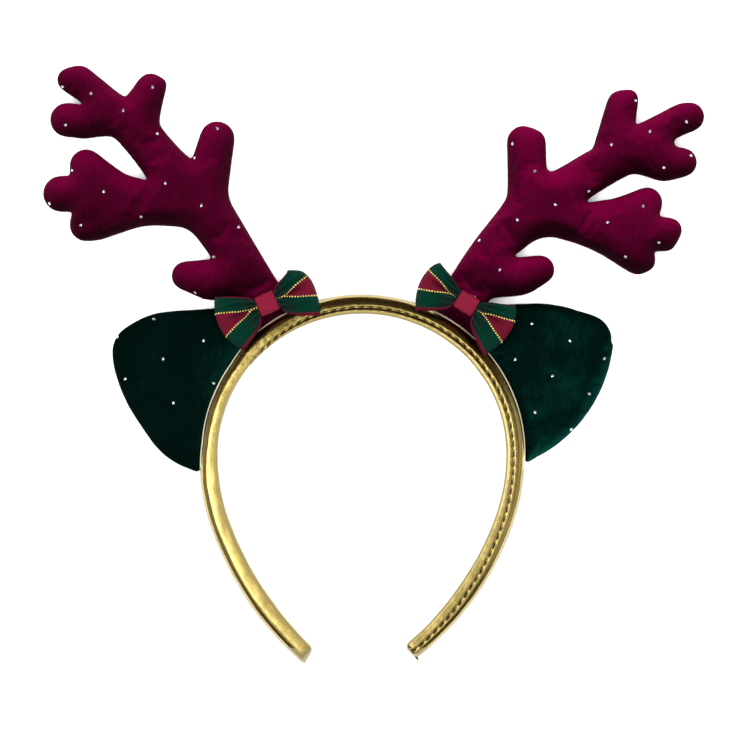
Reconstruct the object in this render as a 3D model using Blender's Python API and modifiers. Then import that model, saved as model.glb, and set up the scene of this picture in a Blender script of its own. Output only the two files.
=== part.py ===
"""Reindeer antler headband, lying on its back, for Blender 4.5.

A stiff padded hoop carries two stuffed velvet antlers, two padded velvet ears and two ribbon bows.
Every size below is in millimetres, in the hoop's own plane: X to the right, Y towards the antler tips,
Z up from the table, with X = Y = 0 in the middle of the hoop's round part. The last step turns
millimetres into metres and moves the whole headband so that the origin is under its centre.
"""

import math
from collections import namedtuple

import bmesh
import bpy
from mathutils import Vector
from mathutils.geometry import delaunay_2d_cdt

MM = 0.001
GAP = 0.3
LEFT = -1
RIGHT = 1

# The hoop: a chain of arcs from the crown down each side, and its padded sleeve.
Arc = namedtuple("Arc", "name radius sweep_deg")
Girth = namedtuple("Girth", "turn_deg thickness")
HOOP_ARCS = {
    LEFT: (
        Arc("crown", 62.7, 46.0),
        Arc("shoulder", 59.0, 43.0),
        Arc("side", 81.8, 20.5),
        Arc("leg", 130.0, 27.3),
    ),
    RIGHT: (
        Arc("crown", 62.7, 46.0),
        Arc("shoulder", 58.4, 43.5),
        Arc("side", 80.6, 20.6),
        Arc("leg", 118.0, 30.2),
    ),
}
CROWN_Y = 61.9
BAND_WIDTH = 9.8
BAND_GIRTHS = (
    Girth(0.0, 8.1),
    Girth(60.0, 7.9),
    Girth(100.0, 7.9),
    Girth(126.0, 8.4),
    Girth(140.0, 7.4),
)
TIP_ROUNDING = ((0.0, 1.0), (1.2, 0.93), (2.2, 0.74), (2.8, 0.45))
CROWN_FACET_DEG = 1.9
BAND_STATION_DEG = 3.4
OUTER_CORNER = 3.6
INNER_CORNER = 1.7
CORNER_STEPS = 3

# The velvet pieces: outlines are belts pulled round pegs. OUT pegs are tine tips, IN pegs are crotches.
Peg = namedtuple("Peg", "place x y radius side")
Seat = namedtuple("Seat", "side start_deg end_deg")
Stuffing = namedtuple("Stuffing", "seam_z front back reach spacing")
OUT = 1
IN = -1

ANTLER_LEFT_SEAT = Seat(LEFT, 24.5, 39.0)
ANTLER_LEFT_PEGS = (
    Peg("stem, inner bend", -40.0, 107.6, 13.6, IN),
    Peg("upright tine", -58.0, 128.0, 6.8, OUT),
    Peg("crotch", -68.4, 120.6, 0.6, IN),
    Peg("neck under top tine", -76.0, 135.2, 5.2, IN),
    Peg("top tine, inner corner", -81.2, 149.6, 2.8, OUT),
    Peg("top tine, outer corner", -84.6, 148.4, 5.6, OUT),
    Peg("crotch", -94.8, 145.2, 0.5, IN),
    Peg("upper finger, top", -113.2, 151.2, 6.0, OUT),
    Peg("upper finger, tip", -117.2, 151.6, 4.6, OUT),
    Peg("crotch", -112.4, 142.0, 0.4, IN),
    Peg("second finger, tip", -118.0, 135.6, 6.6, OUT),
    Peg("second finger, belly", -111.2, 135.2, 7.0, OUT),
    Peg("armpit", -102.0, 123.6, 5.6, IN),
    Peg("crotch", -86.4, 111.8, 0.4, IN),
    Peg("paw, top edge", -86.4, 131.2, 19.2, IN),
    Peg("paw, upper toe", -110.4, 117.2, 6.4, OUT),
    Peg("crotch", -117.2, 113.6, 0.4, IN),
    Peg("paw, middle toe", -120.4, 106.0, 7.0, OUT),
    Peg("crotch", -116.4, 98.4, 0.4, IN),
    Peg("paw, lower toe", -110.4, 93.6, 6.4, OUT),
    Peg("paw, lower toe end", -106.0, 93.8, 6.2, OUT),
    Peg("paw, underside", -82.8, 63.6, 29.8, IN),
    Peg("armpit", -75.0, 82.0, 11.0, IN),
    Peg("crotch", -61.0, 80.4, 0.6, IN),
    Peg("brow tine, tip", -70.4, 73.2, 5.6, OUT),
    Peg("brow tine, belly", -59.2, 79.2, 15.6, OUT),
    Peg("root", -49.6, 56.4, 7.2, IN),
)
ANTLER_RIGHT_SEAT = Seat(RIGHT, 27.6, 44.0)
ANTLER_RIGHT_PEGS = (
    Peg("root", 53.2, 61.2, 3.2, IN),
    Peg("brow tine, belly", 60.8, 81.2, 16.0, OUT),
    Peg("brow tine, tip", 71.2, 75.6, 5.6, OUT),
    Peg("crotch", 61.8, 81.2, 0.6, IN),
    Peg("armpit", 75.2, 75.0, 13.7, IN),
    Peg("paw, underside", 66.8, 29.2, 60.0, IN),
    Peg("paw, lower toe", 110.4, 80.2, 6.3, OUT),
    Peg("paw, lower toe corner", 113.2, 79.0, 4.0, OUT),
    Peg("crotch", 117.4, 82.6, 0.4, IN),
    Peg("paw, middle toe, low", 121.6, 87.2, 4.0, OUT),
    Peg("paw, middle toe, high", 123.0, 91.4, 4.8, OUT),
    Peg("crotch", 119.8, 97.6, 0.8, IN),
    Peg("paw, upper toe", 114.0, 102.4, 6.0, OUT),
    Peg("paw, top edge", 92.0, 139.0, 36.0, IN),
    Peg("crotch", 90.6, 103.2, 0.6, IN),
    Peg("armpit", 109.2, 106.8, 7.2, IN),
    Peg("second finger, belly", 121.0, 120.4, 9.2, OUT),
    Peg("second finger, tip", 128.2, 118.6, 5.6, OUT),
    Peg("crotch", 126.8, 126.6, 2.0, IN),
    Peg("upper finger, tip", 131.2, 136.8, 5.6, OUT),
    Peg("upper finger, top", 128.4, 136.6, 5.5, OUT),
    Peg("crotch", 110.0, 134.2, 0.5, IN),
    Peg("top tine, outer corner", 106.8, 144.0, 3.6, OUT),
    Peg("top tine, inner corner", 103.6, 141.8, 5.4, OUT),
    Peg("neck under top tine", 91.2, 125.2, 1.6, IN),
    Peg("crotch", 75.8, 116.8, 2.0, IN),
    Peg("upright tine, outer corner", 68.0, 126.4, 5.4, OUT),
    Peg("upright tine, inner corner", 64.6, 126.6, 6.4, OUT),
    Peg("stem, inner bend", 50.3, 107.1, 8.0, IN),
    Peg("stem, inner edge", 166.0, -1.6, 150.0, OUT),
)
ANTLER_STUFFING = Stuffing(seam_z=5.6, front=7.4, back=6.8, reach=9.0, spacing=3.5)
ROOT_FLATNESS = 0.58
ROOT_LENGTH = 13.0
ROOT_FADE = 14.0

EAR_LEFT_SEAT = Seat(LEFT, 45.0, 94.0)
EAR_LEFT_PEGS = (
    Peg("inner corner", -49.0, 58.1, 2.6, OUT),
    Peg("top edge", -74.9, 27.0, 32.0, OUT),
    Peg("point", -88.0, 42.4, 12.0, OUT),
    Peg("outer edge", -40.2, 49.8, 60.6, OUT),
    Peg("lower edge", -59.3, 25.3, 31.0, OUT),
)
EAR_RIGHT_SEAT = Seat(RIGHT, 49.0, 92.2)
EAR_RIGHT_PEGS = (
    Peg("lower corner", 67.3, 8.5, 8.2, OUT),
    Peg("outer edge", 43.8, 51.2, 57.0, OUT),
    Peg("point", 89.3, 47.0, 10.8, OUT),
    Peg("top edge", 69.6, 12.1, 50.0, OUT),
    Peg("inner corner", 55.2, 58.9, 2.6, OUT),
)
EAR_STUFFING = Stuffing(seam_z=2.7, front=3.2, back=3.6, reach=11.0, spacing=5.0)

# The bows: one ribbon strip a bow, pinched in the middle, and a short strip wrapped round the pinch.
Bow = namedtuple("Bow", "name x y seat_z turn_deg knot_length knot_height")
Loop = namedtuple("Loop", "bow side reach top bottom top_set_back bottom_set_back top_fan bottom_fan")
BOWS = (
    Bow("bow_left", -37.8, 62.0, 9.75, 23.6, 7.9, 8.4),
    Bow("bow_right", 41.7, 62.1, 10.45, -31.5, 8.3, 7.8),
)
LOOPS = (
    Loop("bow_left", LEFT, 21.0, 10.6, 12.9, 2.8, 4.9, 0.95, 0.85),
    Loop("bow_left", RIGHT, 19.8, 8.8, 12.0, 5.6, 2.4, 0.95, 0.65),
    Loop("bow_right", LEFT, 20.2, 8.2, 12.5, 1.8, 4.6, 0.9, 0.8),
    Loop("bow_right", RIGHT, 20.6, 9.3, 13.6, 3.0, 3.8, 0.9, 0.8),
)
WALL = 1.0
PINCH_LIFT = 0.9
PINCH_CLEARANCE = 0.4
LOOP_PUFF = 3.0
LOOP_BACK_PUFF = 1.7
LOOP_CREST = 0.58
CREASE_DEPTH = 0.9
KNOT_WALL = 1.0
KNOT_SWELL = 0.3

Finish = namedtuple("Finish", "colour roughness metallic")
FINISHES = {
    "gold_sleeve": Finish((0.62, 0.47, 0.16), 0.30, 0.85),
    "burgundy_velvet": Finish((0.18, 0.0, 0.05), 0.85, 0.0),
    "green_velvet": Finish((0.0, 0.045, 0.03), 0.85, 0.0),
    "striped_ribbon": Finish((0.0, 0.10, 0.06), 0.60, 0.0),
    "crimson_ribbon": Finish((0.38, 0.02, 0.06), 0.45, 0.0),
}


def clear_scene():
    for obj in list(bpy.data.objects):
        bpy.data.objects.remove(obj)


def material(name):
    """A Principled material with the piece's colour, roughness and metallic value."""
    made = bpy.data.materials.get(name)
    if made:
        return made
    finish = FINISHES[name]
    made = bpy.data.materials.new(name)
    made.use_nodes = True
    shader = made.node_tree.nodes["Principled BSDF"]
    shader.inputs["Base Color"].default_value = (*finish.colour, 1.0)
    shader.inputs["Roughness"].default_value = finish.roughness
    shader.inputs["Metallic"].default_value = finish.metallic
    made.diffuse_color = (*finish.colour, 1.0)
    return made


def add_object(name, bm, material_name, collection):
    """A smooth-shaded object from a bmesh drawn in millimetres."""
    bmesh.ops.scale(bm, vec=(MM, MM, MM), verts=bm.verts)
    bmesh.ops.recalc_face_normals(bm, faces=bm.faces)
    mesh = bpy.data.meshes.new(name)
    bm.to_mesh(mesh)
    bm.free()
    mesh.materials.append(material(material_name))
    mesh.shade_smooth()
    obj = bpy.data.objects.new(name, mesh)
    collection.objects.link(obj)
    return obj


def hoop_point(side, turn_deg, offset=0.0):
    """A point of the hoop's centreline after it has turned this far from the crown, moved outwards by offset."""
    arcs = HOOP_ARCS[side]
    centre = Vector((0.0, CROWN_Y - arcs[0].radius))
    start = 0.0
    for arc, following in zip(arcs, (*arcs[1:], None)):
        end = start + arc.sweep_deg
        if turn_deg <= end or following is None:
            break
        joint = math.radians(end)
        towards = Vector((math.sin(joint), math.cos(joint)))
        centre += towards * (arc.radius - following.radius)
        start = end
    turn = math.radians(turn_deg)
    outwards = Vector((math.sin(turn), math.cos(turn)))
    point = centre + outwards * (arc.radius + offset)
    return Vector((side * point.x, point.y))


def hoop_girth(turn_deg):
    """The sleeve's thickness in the hoop's plane at this turn from the crown."""
    turn = abs(turn_deg)
    for low, high in zip(BAND_GIRTHS, BAND_GIRTHS[1:]):
        if turn <= high.turn_deg:
            share = (turn - low.turn_deg) / (high.turn_deg - low.turn_deg)
            return low.thickness + share * (high.thickness - low.thickness)
    return BAND_GIRTHS[-1].thickness


def sleeve_section(thickness, width):
    """The sleeve's section, (outwards, upwards): flat towards the head, rounder outside."""
    section = []
    for quarter, corner in enumerate((OUTER_CORNER, INNER_CORNER, INNER_CORNER, OUTER_CORNER)):
        size = corner * width / BAND_WIDTH
        outwards = (thickness / 2 - size) * (1 if quarter in (0, 3) else -1)
        upwards = (width / 2 - size) * (1 if quarter in (0, 1) else -1)
        for step in range(CORNER_STEPS + 1):
            angle = math.pi / 2 * (quarter + step / CORNER_STEPS)
            section.append((outwards + size * math.cos(angle), upwards + size * math.sin(angle)))
    return section


def hoop_stations():
    """(side, turn, reach past the tip, scale) of each of the sleeve's sections, from the left tip to the right."""
    halves = {}
    for side, arcs in HOOP_ARCS.items():
        full_turn = sum(arc.sweep_deg for arc in arcs)
        count = round((full_turn - CROWN_FACET_DEG) / BAND_STATION_DEG)
        turns = [CROWN_FACET_DEG + (full_turn - CROWN_FACET_DEG) * step / count for step in range(count)]
        halves[side] = [(side, turn, 0.0, 1.0) for turn in turns]
        halves[side] += [(side, full_turn, past, scale) for past, scale in TIP_ROUNDING]
    return [*reversed(halves[LEFT]), *halves[RIGHT]]


def make_band(collection):
    """The sleeved hoop as one loft from tip to tip."""
    bm = bmesh.new()
    rings = []
    for side, turn_deg, past, scale in hoop_stations():
        turn = math.radians(turn_deg)
        along = Vector((side * math.cos(turn), -math.sin(turn)))
        outwards = Vector((side * math.sin(turn), math.cos(turn)))
        centre = hoop_point(side, turn_deg) + along * past
        ring = []
        for out, up in sleeve_section(hoop_girth(turn_deg) * scale, BAND_WIDTH * scale):
            place = centre + outwards * out
            ring.append(bm.verts.new((place.x, place.y, BAND_WIDTH / 2 + up)))
        rings.append(ring)
    for ring, following in zip(rings, rings[1:]):
        for i in range(len(ring)):
            j = (i + 1) % len(ring)
            bm.faces.new((ring[i], ring[j], following[j], following[i]))
    bm.faces.new(rings[0])
    bm.faces.new(rings[-1])
    return add_object("band", bm, "gold_sleeve", collection)


def tangent(first, second):
    """Heading of the belt's straight run between two pegs, each passed on its own side."""
    run = Vector((second.x - first.x, second.y - first.y))
    swing = (second.side * second.radius - first.side * first.radius) / run.length
    return math.atan2(run.y, run.x) - math.asin(max(-1.0, min(1.0, swing)))


def belt(start, pegs, end, spacing):
    """Points of a belt pulled from start round the pegs to end, about spacing apart."""
    loose_ends = (Peg("start", *start, 0.0, OUT), Peg("end", *end, 0.0, OUT))
    stops = (loose_ends[0], *pegs, loose_ends[1])
    headings = [tangent(a, b) for a, b in zip(stops, stops[1:])]
    corners = [start]
    for peg, arriving, leaving in zip(pegs, headings, headings[1:]):
        turn = (peg.side * (leaving - arriving)) % (2 * math.pi)
        if turn > 1.9 * math.pi:
            turn = 0.0
        steps = max(1, math.ceil(turn * peg.radius / spacing), math.ceil(turn / math.radians(40)))
        for step in range(steps + 1):
            heading = arriving + peg.side * turn * step / steps
            inwards = Vector((-math.sin(heading), math.cos(heading)))
            corners.append(Vector((peg.x, peg.y)) - inwards * peg.side * peg.radius)
    corners.append(end)
    return spaced_out(corners, spacing)


def spaced_out(corners, spacing):
    """The same path with long runs divided and corners that nearly meet left out."""
    points = [corners[0]]
    for corner in corners[1:]:
        run = corner - points[-1]
        if run.length < 0.35 * spacing and run.length < 0.5:
            continue
        steps = max(1, round(run.length / spacing))
        before = points[-1]
        points += [before + run * (step / steps) for step in range(1, steps + 1)]
    return points


def seated_outline(seat, pegs, spacing):
    """A closed outline, anticlockwise: out from the hoop, round the pegs, and back along the hoop."""
    offset = [hoop_girth(turn) / 2 + GAP for turn in (seat.start_deg, seat.end_deg)]
    first, last = seat.start_deg, seat.end_deg
    if seat.side == RIGHT:
        first, last = last, first
        offset.reverse()
    start = hoop_point(seat.side, first, offset[0])
    end = hoop_point(seat.side, last, offset[1])
    path = belt(start, pegs, end, spacing)
    steps = max(2, round(abs(last - first) / 5.0))
    for step in range(1, steps):
        turn = last + (first - last) * step / steps
        path.append(hoop_point(seat.side, turn, hoop_girth(turn) / 2 + GAP))
    return path


def distance_to(outline, point):
    """Distance from a point to the nearest side of a closed outline."""
    nearest = math.inf
    for a, b in zip(outline, (*outline[1:], outline[0])):
        run = b - a
        share = max(0.0, min(1.0, (point - a).dot(run) / run.length_squared))
        nearest = min(nearest, (point - a - run * share).length)
    return nearest


def is_inside(outline, point):
    """Whether a ray to the right of the point crosses the outline an odd number of times."""
    inside = False
    for a, b in zip(outline, (*outline[1:], outline[0])):
        if (a.y > point.y) != (b.y > point.y):
            if point.x < a.x + (b.x - a.x) * (point.y - a.y) / (b.y - a.y):
                inside = not inside
    return inside


def inner_points(outline, stuffing):
    """Points inside an outline: two rows that follow the seam, then an even lattice."""
    points = []
    for depth in (0.11 * stuffing.reach, 0.38 * stuffing.reach):
        for a, b, c in zip((outline[-1], *outline), outline, (*outline[1:], outline[0])):
            along = (c - a).normalized()
            place = b + Vector((-along.y, along.x)) * depth
            crowded = any((place - other).length < 0.42 * stuffing.spacing for other in points)
            if not crowded and distance_to(outline, place) > 0.93 * depth and is_inside(outline, place):
                points.append(place)
    row_height = stuffing.spacing * math.sqrt(3) / 2
    low = [min(point[axis] for point in outline) for axis in (0, 1)]
    high = [max(point[axis] for point in outline) for axis in (0, 1)]
    clear = 0.38 * stuffing.reach + 0.55 * stuffing.spacing
    for row in range(int((high[1] - low[1]) / row_height) + 1):
        shift = stuffing.spacing / 2 * (row % 2)
        for column in range(int((high[0] - low[0]) / stuffing.spacing) + 1):
            place = Vector((low[0] + shift + column * stuffing.spacing, low[1] + row * row_height))
            if is_inside(outline, place) and distance_to(outline, place) > clear:
                points.append(place)
    return points


def triangulated(outline, points):
    """Triangles that fill an outline, none of whose inner sides runs straight from seam to seam."""
    count = len(outline)
    seam = [(i, (i + 1) % count) for i in range(count)]
    for _ in range(6):
        places, _, faces, *_ = delaunay_2d_cdt([*outline, *points], seam, [], 1, 1e-4)
        on_seam = [distance_to(outline, place) < 1e-3 for place in places]
        used = {}
        for face in faces:
            for a, b in zip(face, (*face[1:], face[0])):
                side = (min(a, b), max(a, b))
                used[side] = used.get(side, 0) + 1
        bridges = [side for side, faces_there in used.items() if faces_there == 2 and all(on_seam[i] for i in side)]
        if not bridges:
            break
        points = [*points, *((places[a] + places[b]) / 2 for a, b in bridges)]
    return places, faces


def stuffed(name, outline, stuffing, material_name, collection, flatness=lambda point: 1.0):
    """Two layers of cloth sewn together along an outline and stuffed, flattened where they rest on the table."""
    places, faces = triangulated(outline, inner_points(outline, stuffing))
    bm = bmesh.new()
    front, back = [], []
    for place in places:
        depth = distance_to(outline, place)
        if depth < 1e-3:
            shared = bm.verts.new((place.x, place.y, stuffing.seam_z))
            front.append(shared)
            back.append(shared)
            continue
        share = 1 - min(1.0, depth / stuffing.reach)
        puff = math.sqrt(1 - share * share) * flatness(place)
        front.append(bm.verts.new((place.x, place.y, stuffing.seam_z + stuffing.front * puff)))
        back.append(bm.verts.new((place.x, place.y, stuffing.seam_z - stuffing.back * puff)))
    for face in faces:
        bm.faces.new([front[i] for i in face])
        bm.faces.new([back[i] for i in reversed(face)])
    swelling = [vert for vert in bm.verts if abs(vert.co.z - stuffing.seam_z) > 0.55 * stuffing.back]
    for _ in range(3):
        bmesh.ops.smooth_vert(bm, verts=swelling, factor=0.5, use_axis_z=True)
    for vert in bm.verts:
        vert.co.z = max(0.0, vert.co.z)
    return add_object(name, bm, material_name, collection)


def root_flatness(point):
    """How full an antler is: pressed flatter near the hoop, where the bow is sewn on."""
    crown = HOOP_ARCS[RIGHT][0].radius
    above_hoop = (point - Vector((0.0, CROWN_Y - crown))).length - crown - BAND_GIRTHS[0].thickness / 2
    share = max(0.0, min(1.0, (above_hoop - ROOT_LENGTH) / ROOT_FADE))
    return ROOT_FLATNESS + (1 - ROOT_FLATNESS) * share * share * (3 - 2 * share)


def loop_stations(loop):
    """(share of the reach, lift) of a bow loop, from the pinch's front layer round the fold to its back layer."""
    rise = [step / 5 * LOOP_CREST for step in range(1, 6)]
    fold = [math.radians(30 * step) for step in (1, 2)]
    stations = []
    for share in rise:
        ease = (share / LOOP_CREST) ** 2 * (3 - 2 * share / LOOP_CREST)
        stations.append((share, PINCH_LIFT + (LOOP_PUFF - PINCH_LIFT) * ease))
    for angle in fold:
        share = LOOP_CREST + (1 - LOOP_CREST) * math.sin(angle)
        stations.append((share, LOOP_PUFF * math.cos(angle)))
    stations.append((1.0, 0.0))
    for angle in reversed(fold):
        share = LOOP_CREST + (1 - LOOP_CREST) * math.sin(angle)
        stations.append((share, -LOOP_BACK_PUFF * math.cos(angle)))
    for share in reversed(rise):
        ease = (share / LOOP_CREST) ** 2 * (3 - 2 * share / LOOP_CREST)
        stations.append((share, -PINCH_LIFT - (LOOP_BACK_PUFF - PINCH_LIFT) * ease))
    return stations


def ribbon_row(bow, loop, share, lift):
    """Points across the ribbon at one station of a loop: narrow at the pinch, full width at the fold."""
    row = []
    pinch_length = bow.knot_length / 2 + PINCH_CLEARANCE
    pinch_width = bow.knot_height / 2 - KNOT_SWELL - KNOT_WALL - GAP
    crease = CREASE_DEPTH * math.sin(math.pi * min(1.0, share * 1.15)) * math.copysign(1.0, lift)
    for step in range(7):
        across = step / 3 - 1
        edge, set_back, fan = (loop.top, loop.top_set_back, loop.top_fan)
        if across < 0:
            edge, set_back, fan = (loop.bottom, loop.bottom_set_back, loop.bottom_fan)
        width = pinch_width + (edge - pinch_width) * share**fan
        length = pinch_length + (loop.reach - pinch_length) * share - set_back * across * across * share * share
        height = lift - crease * (1 - abs(across)) if lift else 0.0
        row.append((loop.side * length, width * across, height))
    return row


def make_ribbon(bow, centre_z, collection):
    """One closed strip through both loops, given its thickness by Solidify."""
    rows = []
    for side in (RIGHT, LEFT):
        loop = [candidate for candidate in LOOPS if (candidate.bow, candidate.side) == (bow.name, side)][0]
        stations = [(0.0, PINCH_LIFT), *loop_stations(loop), (0.0, -PINCH_LIFT)]
        if side == LEFT:
            stations.reverse()
        rows += [ribbon_row(bow, loop, *station) for station in stations]
    bm = bmesh.new()
    grid = [[bm.verts.new((u, v, centre_z + w)) for u, v, w in row] for row in rows]
    for row, following in zip(grid, (*grid[1:], grid[0])):
        for i in range(len(row) - 1):
            bm.faces.new((row[i], row[i + 1], following[i + 1], following[i]))
    obj = add_object(bow.name + "_ribbon", bm, "striped_ribbon", collection)
    solidify = obj.modifiers.new("thickness", "SOLIDIFY")
    solidify.thickness = WALL * MM
    solidify.offset = 0.0
    place_bow_piece(obj, bow)
    return obj


def rounded_box(half_width, half_height, corner, steps):
    """Points of a rectangle with rounded corners, anticlockwise."""
    points = []
    for quarter in range(4):
        x = (half_width - corner) * (1 if quarter in (0, 3) else -1)
        y = (half_height - corner) * (1 if quarter in (0, 1) else -1)
        for step in range(steps + 1):
            angle = math.pi / 2 * (quarter + step / steps)
            points.append((x + corner * math.cos(angle), y + corner * math.sin(angle)))
    return points


def make_knot(bow, centre_z, collection):
    """The short strip wrapped round the pinch, as a tube whose ends are open for the ribbon."""
    half_height = PINCH_LIFT + WALL / 2 + GAP + KNOT_WALL
    sections = ((-0.5, 0.0), (-0.42, 0.7), (0.0, 1.0), (0.42, 0.7), (0.5, 0.0))
    bm = bmesh.new()
    skins = []
    for inset in (0.0, KNOT_WALL):
        rings = []
        for along, swell in sections:
            grow = KNOT_SWELL * swell if inset == 0.0 else -inset
            outline = rounded_box(bow.knot_height / 2 - KNOT_SWELL + grow, half_height + grow, 1.4 - inset, 3)
            rings.append([bm.verts.new((along * bow.knot_length, y, centre_z + z)) for y, z in outline])
        skins.append(rings)
    for rings in skins:
        for ring, following in zip(rings, rings[1:]):
            for i in range(len(ring)):
                j = (i + 1) % len(ring)
                bm.faces.new((ring[i], ring[j], following[j], following[i]))
    for end in (0, -1):
        outer, inner = skins[0][end], skins[1][end]
        for i in range(len(outer)):
            j = (i + 1) % len(outer)
            bm.faces.new((outer[i], outer[j], inner[j], inner[i]))
    obj = add_object(bow.name + "_knot", bm, "crimson_ribbon", collection)
    place_bow_piece(obj, bow)
    return obj


def place_bow_piece(obj, bow):
    obj.location = Vector((bow.x, bow.y, 0.0)) * MM
    obj.rotation_euler = (0.0, 0.0, math.radians(bow.turn_deg))


def centre_on_table(objects):
    """Hangs every piece on an empty, and moves that so that the origin is under the headband's centre."""
    bpy.context.view_layer.update()
    graph = bpy.context.evaluated_depsgraph_get()
    corners = []
    for obj in objects:
        shown = obj.evaluated_get(graph)
        mesh = shown.to_mesh()
        corners += [shown.matrix_world @ vert.co for vert in mesh.vertices]
        shown.to_mesh_clear()
    root = bpy.data.objects.new("headband_origin", None)
    bpy.context.scene.collection.objects.link(root)
    for axis in (0, 1):
        values = [corner[axis] for corner in corners]
        root.location[axis] = -(min(values) + max(values)) / 2
    for obj in objects:
        obj.parent = root


def main():
    clear_scene()
    collection = bpy.data.collections.new("reindeer_antler_headband")
    bpy.context.scene.collection.children.link(collection)
    objects = [make_band(collection)]
    antlers = (
        ("antler_left", ANTLER_LEFT_SEAT, ANTLER_LEFT_PEGS),
        ("antler_right", ANTLER_RIGHT_SEAT, ANTLER_RIGHT_PEGS),
    )
    for name, seat, pegs in antlers:
        outline = seated_outline(seat, pegs, 0.85 * ANTLER_STUFFING.spacing)
        objects.append(stuffed(name, outline, ANTLER_STUFFING, "burgundy_velvet", collection, root_flatness))
    ears = (
        ("ear_left", EAR_LEFT_SEAT, EAR_LEFT_PEGS),
        ("ear_right", EAR_RIGHT_SEAT, EAR_RIGHT_PEGS),
    )
    for name, seat, pegs in ears:
        outline = seated_outline(seat, pegs, 0.8 * EAR_STUFFING.spacing)
        objects.append(stuffed(name, outline, EAR_STUFFING, "green_velvet", collection))
    for bow in BOWS:
        pinch_z = bow.seat_z + KNOT_WALL + GAP + WALL / 2 + PINCH_LIFT
        objects.append(make_ribbon(bow, pinch_z, collection))
        objects.append(make_knot(bow, pinch_z, collection))
    centre_on_table(objects)


main()
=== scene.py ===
"""Looks of a reindeer antler headband, laid out as an add-on for Blender 4.5.

A gold sleeve covers the hoop, two stuffed velvet antlers and two padded velvet ears are sewn to it, and a
striped ribbon bow covers the foot of each antler. Plans are worked out in millimetres in the row's frame:
X to the right, Y towards the antler tips, Z up from the table. Left means left in the photograph.
"""

import math
from collections import Counter, namedtuple

import bmesh
import bpy
import numpy as np
from bpy.props import FloatProperty, FloatVectorProperty, IntProperty, PointerProperty
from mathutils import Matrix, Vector, noise
from mathutils.bvhtree import BVHTree
from mathutils.geometry import delaunay_2d_cdt


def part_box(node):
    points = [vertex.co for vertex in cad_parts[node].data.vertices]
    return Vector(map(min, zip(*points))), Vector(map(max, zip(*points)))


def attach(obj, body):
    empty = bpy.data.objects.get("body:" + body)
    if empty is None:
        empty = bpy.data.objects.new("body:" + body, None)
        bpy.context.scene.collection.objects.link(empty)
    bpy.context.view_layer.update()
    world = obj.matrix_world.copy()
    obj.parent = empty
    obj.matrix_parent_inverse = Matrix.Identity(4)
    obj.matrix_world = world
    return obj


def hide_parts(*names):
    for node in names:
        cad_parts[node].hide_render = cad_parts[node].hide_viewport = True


bl_info = {
    "name": "Reindeer antler headband",
    "version": (1, 0, 0),
    "blender": (4, 5, 0),
    "location": "View3D > Sidebar > Headband",
    "description": "Gold sleeve, velvet antlers and ears, ribbon bows and silver dots of a headband",
    "category": "Object",
}

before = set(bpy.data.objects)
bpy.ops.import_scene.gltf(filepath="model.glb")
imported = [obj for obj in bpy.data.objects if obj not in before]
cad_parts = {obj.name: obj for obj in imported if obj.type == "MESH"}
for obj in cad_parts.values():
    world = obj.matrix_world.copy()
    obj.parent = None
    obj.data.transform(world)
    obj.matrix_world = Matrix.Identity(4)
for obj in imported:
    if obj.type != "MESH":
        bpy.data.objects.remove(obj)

MM = 0.001
LEFT = -1
RIGHT = 1
BAND_LOW, BAND_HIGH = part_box("band")

# The hoop: arcs from the crown down each side, as (radius, sweep in degrees), and the sleeve's girth.
HOOP_CENTRE = Vector((-4.6358, -38.1059))
CROWN_RADIUS = 62.7
CROWN_RISE = 61.9
HOOP_ARCS = {
    LEFT: ((62.7, 46.0), (59.0, 43.0), (81.8, 20.5), (130.0, 27.3)),
    RIGHT: ((62.7, 46.0), (58.4, 43.5), (80.6, 20.6), (118.0, 30.2)),
}
GIRTH_TURNS = (0.0, 60.0, 100.0, 126.0, 140.0)
GIRTHS = (8.1, 7.9, 7.9, 8.4, 7.4)
# Where the sleeve's seam runs: its distance round the section from the outer edge, at turns from the crown.
SEAM_TRACK = {
    LEFT: ((0.0, 20.0, 35.0, 48.0, 60.0, 137.0), (8.6, 8.9, 9.8, 10.9, 12.2, 13.2)),
    RIGHT: ((0.0, 60.0, 90.0, 115.0, 140.0), (8.6, 8.2, 8.2, 7.5, 6.9)),
}
# The sleeve's rings are about this far apart, in millimetres.
STATION_STEP = 0.8
# How far the sleeve's flat sides swell at the crown, and where: a share of the thickness, inwards below 0.
PILLOW = 0.5
PILLOW_CENTRE = -0.19
# Where the left ear presses the sleeve narrower: turns from the crown, and by how much.
EAR_PRESS = ((42.0, 54.0, 86.0, 98.0), (0.0, 1.2, 1.2, 0.0))
# Steps in each rounded corner of the section, and points round the whole of it.
CORNER_STEPS = 12
SECTION_POINTS = 145
# The mesh's columns round the sleeve: distances from the seam, then even steps.
SEAM_COLUMNS = (0.0, 0.22, 0.5, 0.85, 1.3, 1.9)
COLUMN_STEP = 0.66
# The seam: the groove's half width, and the height, distance and half width of the lips beside it.
GROOVE_WIDTH = 0.36
LIP_HEIGHT = 0.10
LIP_DISTANCE = 1.05
LIP_WIDTH = 0.5
# Uneven padding under the leathercloth: heights of its broad and its fine swells.
FOAM_BROAD = 0.10
FOAM_FINE = 0.035
# The tongue at the right tip: outwards, nearer and further edge past the hoop's end, half its height.
TAB_RINGS = ((1.6, 0.5, 2.2, 1.5), (3.2, 1.1, 2.3, 1.2), (4.3, 1.5, 2.2, 0.7), (5.1, 1.8, 2.0, 0.25))
TAB_LIFT = 0.8
# Bounds in y, in metres: the sleeve's wrapped end, and where the ears' feet and heads meet the hoop.
WRAPPED_END = (-0.1140, -0.1130)
EAR_FOOT = (-0.0425, -0.0405)
EAR_HEAD = (0.016, 0.024)

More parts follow.
